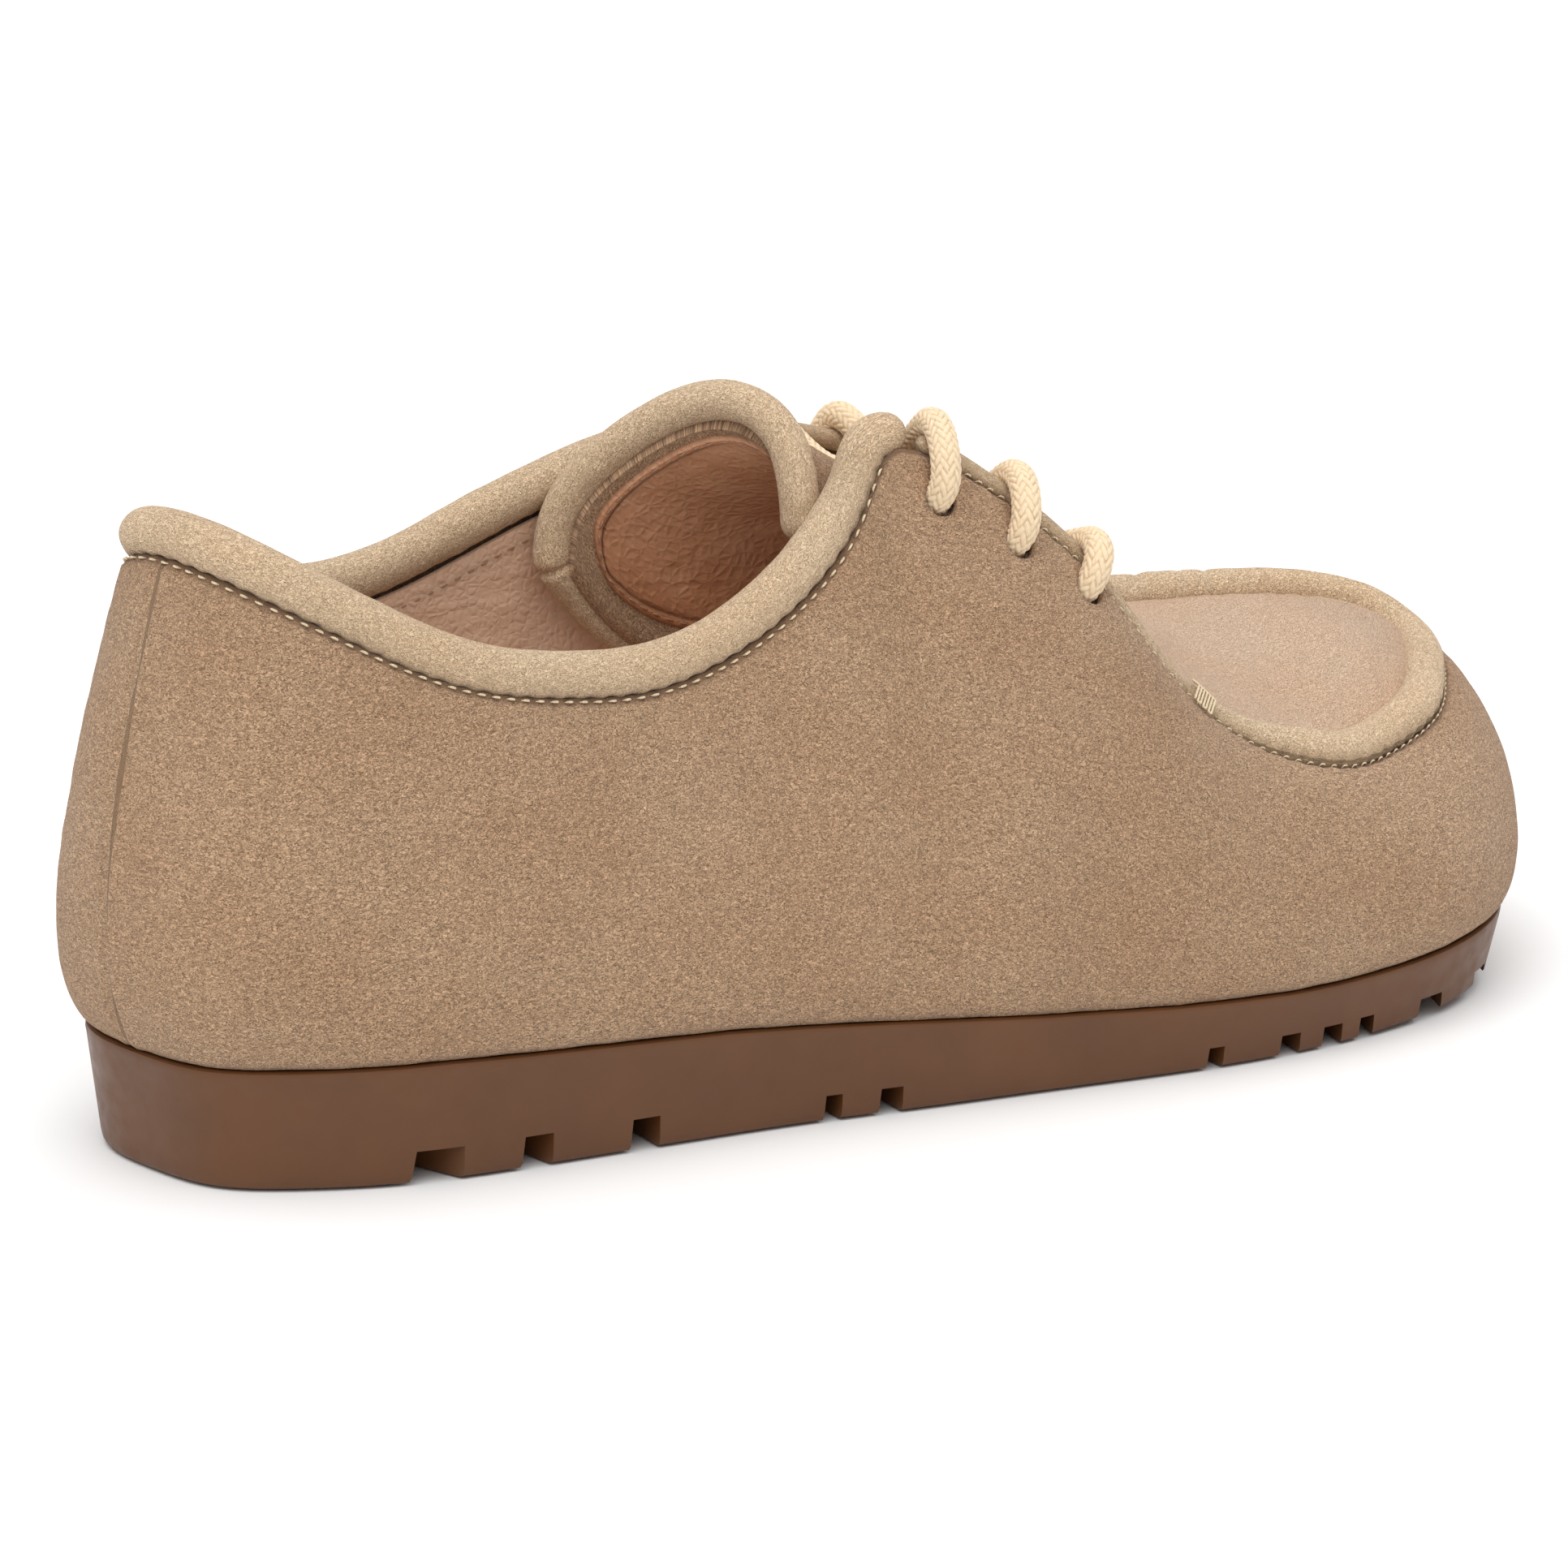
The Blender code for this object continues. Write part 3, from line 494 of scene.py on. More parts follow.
class Finish:
    """A material under construction: short calls for the nodes that most of them share."""

    def __init__(self, name, roughness, sheen=0.0, metallic=0.0, specular=0.5):
        self.made = bpy.data.materials.new(name)
        self.made.use_nodes = True
        self.shader = self.made.node_tree.nodes["Principled BSDF"]
        for key, value in (("Roughness", roughness), ("Sheen Weight", sheen), ("Sheen Roughness", 0.45),
                           ("Metallic", metallic), ("Specular IOR Level", specular)):
            self.shader.inputs[key].default_value = value
        self.place = self.add("ShaderNodeTexCoord").outputs["UV"]

    def add(self, kind, inputs=None, **values):
        """A node with its settings, each input given a value or joined to another node's output."""
        node = self.made.node_tree.nodes.new(kind)
        for key, value in values.items():
            setattr(node, key, value)
        for key, value in (inputs or {}).items():
            if hasattr(value, "links"):
                self.made.node_tree.links.new(value, node.inputs[key])
            else:
                node.inputs[key].default_value = value
        return node

    def shade(self, key, source):
        self.made.node_tree.links.new(source, self.shader.inputs[key])

    def by_object(self):
        """Take places from the shape itself, for pieces with no surface map."""
        self.place = self.add("ShaderNodeTexCoord").outputs["Object"]
        return self

    def noise(self, size, detail_level=3.0, stretch=(1, 1, 1), turn=0.0, distortion=0.0, roughness=0.5):
        """Noise with lumps of the given size in millimetres."""
        inputs = {"Scale": stretch, "Rotation": (0, 0, turn), "Vector": self.place}
        place = self.add("ShaderNodeMapping", inputs).outputs["Vector"]
        inputs = {"Scale": 1 / (size * MM), "Detail": detail_level, "Roughness": roughness,
                  "Distortion": distortion, "Vector": place}
        return self.add("ShaderNodeTexNoise", inputs).outputs["Fac"]

    def cells(self, size):
        """Distance to the edge of cells of the given size in millimetres."""
        inputs = {"Scale": 1 / (size * MM), "Vector": self.place}
        return self.add("ShaderNodeTexVoronoi", inputs, feature="DISTANCE_TO_EDGE").outputs["Distance"]

    # Per-point values stored on the piece that set painted shade: how far the colour is darkened as shade, or
    # for the lace its braid height.
    def tone(self):
        return self.add("ShaderNodeAttribute", attribute_name="tone").outputs["Fac"]

    def ramp(self, value, *stops):
        """Colours or greys along a value, each stop a place and a colour or grey."""
        node = self.add("ShaderNodeValToRGB", {"Fac": value})
        elements = node.color_ramp.elements
        while len(elements) < len(stops):
            elements.new(0.5)
        for element, (place, colour) in zip(elements, stops):
            element.position = place
            element.color = opaque(colour if isinstance(colour, tuple) else (colour,) * 3)
        return node.outputs["Color"]

    def mix(self, share, first, second, blend="MIX"):
        """Two colours mixed; each is a node's output or a colour."""
        inputs = {0: share, 6: opaque(first), 7: opaque(second)}
        return self.add("ShaderNodeMix", inputs, data_type="RGBA", blend_type=blend).outputs[2]

    def bump(self, *layers):
        """Each layer is a height, its strength and its depth in millimetres."""
        below = {}
        for height, strength, depth in layers:
            inputs = {"Strength": strength, "Distance": depth * MM, "Height": height, **below}
            below = {"Normal": self.add("ShaderNodeBump", inputs).outputs["Normal"]}
        self.shade("Normal", below["Normal"])
        return self.made


def suede(name, light, dark, cloud):
    """Brushed suede: a wormy nap with bright fibre tips, clouds where it was stroked, and a velvet edge."""
    light, dark, cloud = linear(light), linear(dark), linear(cloud)
    grain, turn = 0.46, 0.3
    finish = Finish(name, 0.95, sheen=0.2, specular=0.15)
    nap = finish.noise(grain, 3.0, (0.75, 1.15, 1), turn, 1.6, 0.62)
    fibre = finish.noise(grain * 0.42, 2.0, (0.8, 1.2, 1), turn + 0.5)
    clouds = finish.noise(24, 3.0, (0.7, 1, 1))
    middle = tuple((a + b) / 2 for a, b in zip(light, dark))
    streaks = finish.ramp(nap, (0.36, dark), (0.50, middle), (0.62, light))
    shaded = finish.mix(finish.ramp(clouds, (0.38, 0.0), (0.66, 0.5)), streaks, cloud, "MULTIPLY")
    speck = finish.ramp(fibre, (0.34, 0.72), (0.52, 1.0), (0.66, 1.25))
    # Where the stored values rise, the colour goes to the dark colour: painted shade under the rolls, in
    # seams and in crevices.
    finish.shade("Base Color", finish.mix(finish.tone(), finish.mix(1.0, shaded, speck, "MULTIPLY"), dark))
    return finish.bump((nap, 1.0, 0.5), (fibre, 0.9, 0.2))


def creased_leather(name, light, dark, strength=0.4):
    """Soft lining leather: a fine pebble grain, with longer creases where it bends."""
    light, dark = linear(light), linear(dark)
    finish = Finish(name, 0.5, sheen=0.05, specular=0.4)
    grain = finish.cells(1.7)
    wrinkles = finish.noise(2.7, 3.0, (0.6, 1.3, 1), 0.5, 0.6, 0.6)
    folds = finish.noise(9, 3.0, (0.6, 1.4, 1), 0.9, 1.0)
    clouds = finish.noise(30)
    tint = finish.ramp(clouds, (0.35, dark), (0.65, light))
    # Marked places go to a much darker leather colour: painted shade in stitch grooves and beside the
    # tongue's binding.
    finish.shade("Base Color", finish.mix(finish.tone(), tint, tuple(part * 0.45 for part in dark)))
    return finish.bump((finish.ramp(grain, (0.0, 0.0), (0.3, 1.0)), strength * 1.5, 0.22),
                       (wrinkles, strength, 0.7), (folds, 0.4, 1.2))


def gum_rubber():
    """Moulded rubber: satin, with a fine sandy mould texture and soft cloudy mottling."""
    finish = Finish("gum_rubber_finish", 0.42, specular=0.45).by_object()
    mottle = finish.noise(14, 4.0)
    finish.shade("Base Color", finish.ramp(mottle, (0.3, linear((93, 56, 26))), (0.7, linear((101, 62, 30)))))
    finish.shade("Roughness", finish.ramp(finish.noise(3.0), (0.3, 0.36), (0.7, 0.52)))
    return finish.bump((finish.noise(0.7), 0.12, 0.1))


def braid_cotton():
    """Lace yarn: cream on top of each float, with tan painted shade where the strands dive."""
    finish = Finish("lace_braid_finish", 0.8, sheen=0.2, specular=0.2)
    fibre = finish.noise(0.22, 2.0, (0.35, 1, 1))
    # The braid's height sets the colour: tan painted shade in the low places between strands, cream on the
    # floats.
    shade = finish.ramp(finish.tone(), (0.0, linear((112, 80, 48))), (0.35, linear((206, 174, 132))),
                        (0.8, linear((240, 216, 182))))
    worn = finish.ramp(fibre, (0.3, 0.88), (0.7, 1.05))
    finish.shade("Base Color", finish.mix(1.0, shade, worn, "MULTIPLY"))
    return finish.bump((fibre, 0.3, 0.08))


def thread(name, light, dark):
    finish = Finish(name, 0.6, sheen=0.1, specular=0.3)
    twist = finish.noise(0.3, 1.0, (2.0, 1, 1), 0.8)
    finish.shade("Base Color", finish.ramp(twist, (0.35, linear(dark)), (0.65, linear(light))))
    return finish.bump((twist, 0.5, 0.1))


def plain(name, light, dark, size, roughness=0.85, metallic=0.0, depth=0.15):
    """A hidden layer's finish: mottled colour and a fine grain."""
    finish = Finish(name, roughness, metallic=metallic).by_object()
    grain = finish.noise(size, 4.0)
    finish.shade("Base Color", finish.ramp(grain, (0.35, linear(dark)), (0.65, linear(light))))
    return finish.bump((grain, 0.3, depth))


def weave(name, light, dark, pitch):
    """A plain woven cloth or tape."""
    finish = Finish(name, 0.9, sheen=0.1).by_object()
    inputs = {"Scale": 0.314 / (pitch * MM), "Distortion": 0.4, "Vector": finish.place}
    bands = [finish.add("ShaderNodeTexWave", inputs, bands_direction=direction).outputs["Fac"]
             for direction in ("X", "Z")]
    cross = finish.add("ShaderNodeMath", dict(enumerate(bands)), operation="MULTIPLY").outputs[0]
    finish.shade("Base Color", finish.ramp(cross, (0.1, linear(dark)), (0.8, linear(light))))
    return finish.bump((cross, 0.5, 0.2))


# ---------------------------------------------------------------- pieces of the shoe

def near_edge(v):
    """Distance of each grid point from the last column, in millimetres."""
    return v[:, -1:] - v


def near_side(v):
    """Distance of each grid point from the nearer of the first and the last column."""
    return np.minimum(v, near_edge(v))


def rounded(share):
    """0 at share 0, rising like a quarter circle to 1 at share 1 and staying there."""
    return np.sqrt(np.clip(1 - (1 - np.clip(share, 0, 1))**2, 0, 1))


def upper_skin(finish):
    """The suede wall, its edges turned under the rolls and its back closed by a sewn seam."""
    half = detail(330)
    places = np.r_[even(0, TOE, half + 1)[:-1], even(TOE, TURNS, half + 1)[:-1]]
    heights = np.r_[np.linspace(0, 0.05, 5), np.linspace(0.07, 0.93, detail(60)), np.linspace(0.94, 1, 12)]
    grid, normal = wall_grid(places, heights)
    u, v = arc_grid(grid)
    edge = near_edge(v)
    lift = 0.35 * waves(u, v, 34, 3) * np.clip(edge / 12, 0, 1) * np.clip(v / 8, 0, 1)
    lift += 0.07 * waves(u, v, 7, 5)
    lift -= 0.7 * bell(edge - 0.2, 0.6)
    lift -= 0.16 * bell(edge, 3.5) * np.cos(2 * pi * u / STITCH_PITCH)
    lift -= 0.5 * bell(v, 1.2)
    seam = (places + TURNS / 2) % TURNS - TURNS / 2
    speed = np.linalg.norm(np.diff(stations(np.array([-0.01, 0.01]))[:, :2], axis=0)) / 0.02
    off = (seam - BACK_SEAM)[:, None] * speed
    lift -= 0.5 * bell(off, 0.32)
    lift += 0.25 * bell(np.abs(off) - 1.6, 1.2)
    grid = grid + normal * lift[..., None]
    outward = beyond(places)
    face = wall_normal(places, 1.0)
    inner = wall_grid(places, heights, SUEDE)[0]
    hidden = [grid[:, -1] + outward * out - face * depth for out, depth in ((0.45, 0.35), (0.7, 0.9))]
    under = [inner[:, -1] + outward * out for out in (0.3, 0.5)]
    grid = np.concatenate([grid, np.stack(hidden, 1)], 1)
    inner = np.concatenate([inner, np.stack(under, 1)], 1)
    # Painted shade: darker along the top edge tucked under the roll, in the back seam's groove and at the
    # foot of the wall by the sole.
    tone = bell(edge, 0.7) + 0.3 * bell(off, 0.35) + 0.35 * bell(v, 1.3)
    tone = np.concatenate([tone, tone[:, -1:], tone[:, -1:]], 1)
    skin = shell("wrap_upper_suede", grid, inner, finish, True, np.clip(tone, 0, 1))
    for side, holes in (("outer", OUTER_HOLES), ("inner", INNER_HOLES)):
        for row, hole in enumerate(holes):
            centre, out = hole_frame(hole)
            punch(skin, centre, out, f"{side}_{row}")
    return skin


def cut(made, cutter, solver):
    """Take a cutter's shape away from a piece."""
    taken = made.modifiers.new("cut", "BOOLEAN")
    taken.operation = "DIFFERENCE"
    taken.solver = solver
    taken.object = cutter
    bpy.context.view_layer.objects.active = made
    bpy.ops.object.modifier_apply(modifier=taken.name)
    bpy.data.objects.remove(cutter)


def punch(skin, centre, normal, label):
    """Cut one lace hole through a skin."""
    path = np.array([centre + normal * 4, centre - normal * 7])
    cut(skin, tube(f"punch_{label}", path, HOLE_RADIUS, 32, skin.data.materials[0], round_ends=False), "FAST")


def seam_share(turn, width):
    """How near each turn is to the seam at turn 0."""
    return bell(np.angle(np.exp(1j * turn)), width)[None]


def roll_radius(run, turn, radius, seed):
    """A sewn roll's radius at each point along and round it: softly uneven, pinched at its stitches."""
    along, around = np.broadcast_arrays(run[:, None], turn)
    uneven = 0.035 * radius[:, None] * waves(along, around * 3, 26, seed)
    small = 0.012 * radius[:, None] * waves(along, around * 3, 6, seed + 1)
    pinch = 0.05 * radius[:, None] * seam_share(turn, 0.5) * np.cos(2 * pi * along / STITCH_PITCH)
    return radius[:, None] + uneven + small - pinch


def roll(name, path, radius, finish, seed, toward, creases=()):
    """A padded suede roll. toward points from the path to its seam, where it is pinched by the stitches."""
    turn = round_turns(ROLL_SIDES)
    run = lengths(path)
    radius = np.broadcast_to(np.asarray(radius, float), (len(path),))
    across, over = frames(path)
    seam_turn = np.arctan2((toward * over).sum(1), (toward * across).sum(1))
    skin = roll_radius(run, turn, radius, seed)
    for at, width, depth in creases:
        skin -= depth * bell(run[:, None] - at * run[-1], width) * (0.6 - 0.4 * np.cos(turn))
    # Painted shade on the seam side, where the roll tucks against the wall.
    shade = 0.6 * seam_share(turn, 0.45) * np.ones((len(path), 1))
    return tube(name, path, skin, ROLL_SIDES, finish, shade, start=seam_turn)


def collar_roll(finish):
    """The roll round the ankle; its outer end tips down behind the flap."""
    places = even(INNER_CORNER - TURNS, OUTER_CORNER + 0.1, detail(560))
    path = edge_roll(places, COLLAR_ROLL, SUEDE + 0.4)
    run = lengths(path)
    dip = np.clip(1 - (run[-1] - run) / 7.0, 0, 1)[:, None]
    path = path + dip**2 * np.array([1.0, 1.2, -2.2])
    fine = capped(path, detail(560), COLLAR_ROLL)
    return roll("collar_roll", fine, COLLAR_ROLL, finish, 11, matched(path, -beyond(places), fine))


def matched(path, values, fine):
    """Directions given along a path, read at the points of another path with the same course."""
    run, at = lengths(path), lengths(fine)
    return unit(read(values, run, at * run[-1] / at[-1]))


def apron_roll(finish):
    places = even(OUTER_FACING, INNER_FACING, detail(560))
    radius = ring_radius(places)
    path = edge_roll(places, radius, ring_depth(places))
    creases = ((0.655, 0.9, 0.5), (0.672, 0.7, 0.35), (0.70, 1.2, 0.5), (0.735, 0.9, 0.3))
    return roll("apron_roll", path, radius, finish, 21, -beyond(places), creases)


def apron_grid(count, columns):
    """Points of the apron from its rear edge to the toe, its sides tucked under the roll."""
    outer = even(OUTER_BARTACK - 0.35, TOE - 0.25, count)
    inner = even(INNER_BARTACK + 0.35, TOE + 0.25, count)
    share = np.linspace(0, 1, columns)[:, None]
    rows = []
    for near, far in zip(outer, inner):
        ends = []
        for station in (near, far):
            radius = ring_radius(np.array([station]))[0]
            ends.append(wall([station], 1.0)[0] + beyond([station])[0] * (radius * 1.1 + 0.6) - UP * 1.7)
        width = np.linalg.norm(ends[1] - ends[0])
        flat = np.clip(np.minimum(share, 1 - share) * width / 5.0, 0, 1)
        rise = 1.4 * np.sin(flat * pi / 2) + APRON_CROWN * min(1.0, width / 45) * 4 * share * (1 - share)
        rows.append(ends[0] + (ends[1] - ends[0]) * share + UP * rise)
    return np.array(rows)


def apron_skin(finish):
    grid = apron_grid(detail(220), detail(110))
    u, v = arc_grid(grid)
    edge = near_side(v)
    lift = 0.22 * waves(u, v, 22, 31) * np.clip(edge / 8, 0, 1) + 0.05 * waves(u, v, 6, 33)
    lift -= 0.18 * bell(edge - 3.5, 3.0) * (0.5 + 0.5 * waves(u, v * 0.3, 5, 35))
    grid = grid + UP * lift[..., None]
    # Painted shadow darkens the apron near its sides, under the ring roll.
    return shell("apron_suede", grid, grid - UP * SUEDE / 2, finish, tone=0.8 * bell(edge, 3.4))


def tongue_surface(across, down):
    """A point of the tongue's outer face; across 0 to 4 from its inner to its outer edge, down 0 to 5."""
    column = np.stack([spline(row, False)(across) for row in TONGUE_ROWS])
    curves = [spline(column[:, index], False)(down) for index in range(column.shape[1])]
    return np.stack(curves, 1)


def tongue_grid(rows, columns, start, end):
    """Points of the tongue's outer face and its upward directions, close together near its sides."""
    across = 4 * (0.5 - 0.5 * np.cos(np.linspace(0.0, pi, columns)))
    grid = tongue_surface(across, np.linspace(start, end, rows))
    normal = grid_normals(grid)
    return grid, normal * np.sign(normal[:, columns // 2, 2])[:, None, None]


def tongue_pad(finish):
    """The suede of the tongue, wrapped round its foam: its face, its sides and the margin of its back."""
    grid, normal = tongue_grid(detail(200), detail(120), *TONGUE_FACE)
    u, v = arc_grid(grid)
    half = TONGUE_THICK / 2
    swell = rounded(near_side(v) / 3.2)
    face_lift = 0.25 * waves(u, v, 20, 41) * swell + 0.05 * waves(u, v, 6, 43)
    face = grid - normal * (half - half * swell - face_lift)[..., None]
    back = grid - normal * (half + 0.1 + (half - 0.5) * swell)[..., None]
    return shell("tongue_suede_pad", face, back, finish)


def tongue_leather(finish):
    """The leather on the tongue's back, set in from the suede margin, with a bound edge and round corners.

    It comes with the line of its edge and the outward directions there, for the stitches.
    """
    side_margin, top_margin, binding, corner = 5.6, 4.0, 1.6, 9.0
    grid, normal = tongue_grid(detail(260), detail(200), 0.0, 4.9)
    _, v = arc_grid(grid)
    reach = np.concatenate([np.zeros((1, grid.shape[1])),
                            np.cumsum(np.linalg.norm(np.diff(grid, axis=0), axis=2), axis=0)])
    stack = np.concatenate([grid, normal, reach[..., None]], 2)
    share = np.linspace(0, 1, grid.shape[1])
    rows = []
    for row, at in zip(stack, v):
        place = side_margin + share * (at[-1] - 2 * side_margin)
        rows.append(np.c_[read(row, at, place), np.minimum(place, at[-1] - place) - side_margin])
    rows = np.array(rows)
    step = (0.5 - 0.5 * np.cos(np.linspace(0, pi / 2, len(rows)))) * 2
    for column in range(rows.shape[1]):
        near = np.clip(1 - rows[len(rows) // 8, column, 7] / corner, 0, 1)
        first = top_margin + corner * (1 - np.sqrt(1 - near**2))
        place = first + step * (rows[-1, column, 6] - first)
        shape = read(rows[:, column], rows[:, column, 6], place)
        shape[:, 6] = place - first
        rows[:, column] = shape
    grid, normal, inside = rows[..., :3], unit(rows[..., 3:6]), np.minimum(rows[..., 6], rows[..., 7])
    u, v = arc_grid(grid)
    rim = np.clip(inside / 0.5, 0, 1)**0.5
    bound = np.where(inside < binding, 0.4, 0.0) * rim
    groove = bell(inside - binding - 0.25, 0.3)
    puff = np.clip((inside - binding) / 4, 0, 1)
    folds = 0.4 * waves(u * 0.6, v * 1.2, 12, 45) - 0.25 * np.abs(waves(u * 1.6, v * 0.7, 5, 47))
    depth = TONGUE_THICK - 0.35 + 0.35 * rim + bound - 0.3 * groove + 0.35 * folds * puff + 0.3 * puff
    back = grid - normal * depth[..., None]
    # Painted shade in the stitch groove beside the binding and at the very edge.
    tone = np.clip(0.9 * groove + 0.4 * bell(inside, 0.25), 0, 1)
    skin = shell("tongue_back_leather", back + normal * 0.9, back, finish, tone=tone)
    sewn = back - normal * 0.1
    inset = np.argmin(np.abs(rows[:, rows.shape[1] // 2, 6] - 0.8))
    side = np.argmin(np.abs(rows[len(rows) // 2, :, 7][:20] - 0.8))
    line = np.concatenate([sewn[:inset:-1, side], sewn[inset, side:-side], sewn[inset:, -side - 1]])
    facing = -np.concatenate([normal[:inset:-1, side], normal[inset, side:-side], normal[inset:, -side - 1]])
    return skin, line, facing


def tongue_roll(finish):
    """The roll along the tongue's top edge; past a small dart it thins out down the inner side."""
    count = detail(300)
    top = tongue_surface(np.linspace(0.02, 4, count), np.array([0.0]))[0]
    below = tongue_surface(np.linspace(0.02, 4, count), np.array([0.5]))[0]
    side = tongue_surface(np.array([0.0]), np.linspace(1.9, 0.04, count))[:, 0]
    within = tongue_surface(np.array([0.5]), np.linspace(1.9, 0.04, count))[:, 0]
    rough = np.concatenate([side, top])
    inward = np.concatenate([within - side, below - top])
    fine = capped(eased(resampled(rough, count * 2), 2.6), count * 2, TONGUE_ROLL)
    corner = lengths(side)[-1] / lengths(rough)[-1]
    run = lengths(fine) / lengths(fine)[-1]
    radius = np.interp(run, [0, corner * 0.8, corner + 0.02], [2.5, 2.7, TONGUE_ROLL])
    return roll("tongue_roll", fine, radius, finish, 49, matched(rough, inward, fine), ((corner, 0.55, 0.7),))


def lining_skin(finish):
    """The leather lining of the wall's back half, softly creased."""
    places = even(LINING_JOINS[1] - TURNS, LINING_JOINS[0], detail(260))
    heights = np.linspace(0.06, 1.0, detail(60))
    grid, normal = wall_grid(places, heights, LINING_DEPTH + 1.0)
    u, v = arc_grid(grid)
    puff = np.clip(near_edge(v) / 8, 0.15, 1)
    lift = 0.30 * waves(u, v, 22, 71) * puff - 0.16 * np.abs(waves(u * 0.5, v * 1.3, 7, 72)) * puff
    grid = grid - normal * lift[..., None]
    # Painted shade along the stitched line 3 mm below the top edge.
    tone = 0.5 * bell(near_edge(v) - 3.0, 0.6)
    return shell("quarter_leather", grid + normal * 0.9, grid, finish, tone=tone)


def sock_skin(finish):
    """The leather on the footbed, in strips from its outer to its inner side, slightly dished."""
    inset, rise, dish, rows = 3.9, 10.1, 1.0, detail(200)
    near = base(even(0.05, TOE - 0.05, rows), inset)[0]
    far = base(even(TURNS - 0.05, TOE + 0.05, rows), inset)[0]
    share = np.linspace(0, 1, detail(60))[None, :, None]
    flat = near[:, None] * (1 - share) + far[:, None] * share
    level = sole_top(flat[..., 0]) + rise - dish * 4 * share[..., 0] * (1 - share[..., 0])
    grid = np.concatenate([flat, level[..., None]], 2)
    u, v = arc_grid(grid)
    grid[..., 2] += 0.12 * waves(u, v, 24, 61)
    return shell("sock_leather", grid, grid - UP * 0.7, finish)


def heel_pad_skin(finish):
    """The soft oval pad, domed and pressed in by its sewn edge."""
    x, y, long_half, wide_half = HEEL_PAD
    turn = np.linspace(0, 2 * pi, detail(120), endpoint=False)
    share = np.linspace(0.02, 1, detail(30))
    points_x = x + long_half * share[None] * np.cos(turn)[:, None]
    points_y = y + wide_half * share[None] * np.sin(turn)[:, None]
    puff = 1.7 * np.clip(1 - share**4, 0, 1) - 0.5 * bell(share - 0.88, 0.03)
    top = np.stack([points_x, points_y, sole_top(points_x) + 9.6 + puff[None]], 2)
    low = np.stack([points_x, points_y, sole_top(points_x) + 9.3], 2)
    return shell("heel_pad_cover", top, low, finish, True)


def sole_skin(finish):
    """The rubber sole with rounded edges, its tread cut by crosswise grooves."""
    half = detail(150)
    places = np.r_[even(0, TOE, half + 1)[:-1], even(TOE, TURNS, half + 1)[:-1]]
    count = len(places)
    # Rings from the bottom face round the edge to the top face: inset, share of the sole's height, and rise
    low = np.array([(SOLE_TAPER + 2.2, 0, 0), (SOLE_TAPER + 0.9, 0, 0), (SOLE_TAPER + 0.25, 0, 0.25),
                    (SOLE_TAPER - 0.1, 0, 0.9), (SOLE_TAPER - 0.3, 0, 2)])
    high = np.array([(-0.35, 1, -1.6), (-0.5, 1, -0.8), (-0.35, 1, -0.25), (0.1, 1, 0), (1.2, 1, 0.05),
                     (SOLE_RIM, 1, 0.05)])
    between = [low[-1] * (1 - share) + high[0] * share for share in np.linspace(0.15, 0.85, 5)]
    loops = []
    for inset, share, rise in (*low, *between, *high):
        points, _ = base(places, inset)
        x = points[:, 0]
        loops.append(np.c_[points, spring(x) * (1 - share) + sole_top(x) * share + rise])
    faces = quads(len(loops), count, False, True)
    middle = count // 2
    for first, flip in ((0, True), ((len(loops) - 1) * count, False)):
        strips = [(first, first + 1, first + count - 1)]
        strips += [(first + step, first + step + 1, first + count - step - 1, first + count - step)
                   for step in range(1, middle - 1)]
        strips.append((first + middle - 1, first + middle, first + middle + 1))
        faces += [strip[::-1] if flip else strip for strip in strips]
    sole = piece("outsole_rubber", np.concatenate(loops), faces, finish, sharp=40)
    tidy_normals(sole)
    for x, width, depth, turn in GROOVES:
        lean = radians(turn)
        level = float(spring(np.array([x]))[0]) + depth / 2 - 2
        centre = np.array([x - OUTER_EDGE * sin(lean), OUTER_EDGE * (cos(lean) - 1), level])
        groove(sole, centre, (width, GROOVE_LENGTH, depth + 4), lean, finish)
    sole.data.shade_smooth()
    sole.data.set_sharp_from_angle(angle=radians(40))
    return sole


def tidy_normals(made):
    mesh = bmesh.new()
    mesh.from_mesh(made.data)
    bmesh.ops.recalc_face_normals(mesh, faces=mesh.faces)
    mesh.to_mesh(made.data)
    mesh.free()


def groove(sole, centre, size, turn, finish):
    """Cut one groove, a little wider at its mouth, as a mould leaves it."""
    corners = []
    for z, flare in ((-0.5, 1.12), (0.5, 0.94)):
        for x, y in ((-0.5, -0.5), (0.5, -0.5), (0.5, 0.5), (-0.5, 0.5)):
            dx, dy = x * size[0] * flare, y * size[1]
            corners.append(centre + np.array([dx * cos(turn) - dy * sin(turn),
                                              dx * sin(turn) + dy * cos(turn), z * size[2]]))
    faces = [(3, 2, 1, 0), (4, 5, 6, 7), (0, 1, 5, 4), (1, 2, 6, 5), (2, 3, 7, 6), (3, 0, 4, 7)]
    cut(sole, piece("groove", np.array(corners), faces, finish), "EXACT")


# ---------------------------------------------------------------- lace

def hole_stops(hole, inward=True, returns=True):
    """Points of the lace over the flap's edge, down through a hole and back under the edge."""
    centre, normal = hole_frame(hole)
    station = [hole[0]]
    edge = wall(station, 1.0)[0]
    past = beyond(station)[0]
    edge_normal = wall_normal(station, 1.0)[0]
    inward_run = unit(centre - edge)
    stops = [edge + past * 6.6 - edge_normal * 0.6, edge + edge_normal * 3.0 + past * 2.8,
             edge + inward_run * 0.9 + edge_normal * 3.9, centre - inward_run * 3.2 + normal * 3.1,
             centre - inward_run * 0.9 + normal * 1.0, centre - inward_run * 0.3 - normal * 2.1]
    if returns:
        stops += [centre - normal * 8.0, edge - edge_normal * 9.4 - past * 1.0]
    else:
        stops += [centre - normal * 5.5, centre - normal * 9.2]
    return stops if inward else stops[::-1]


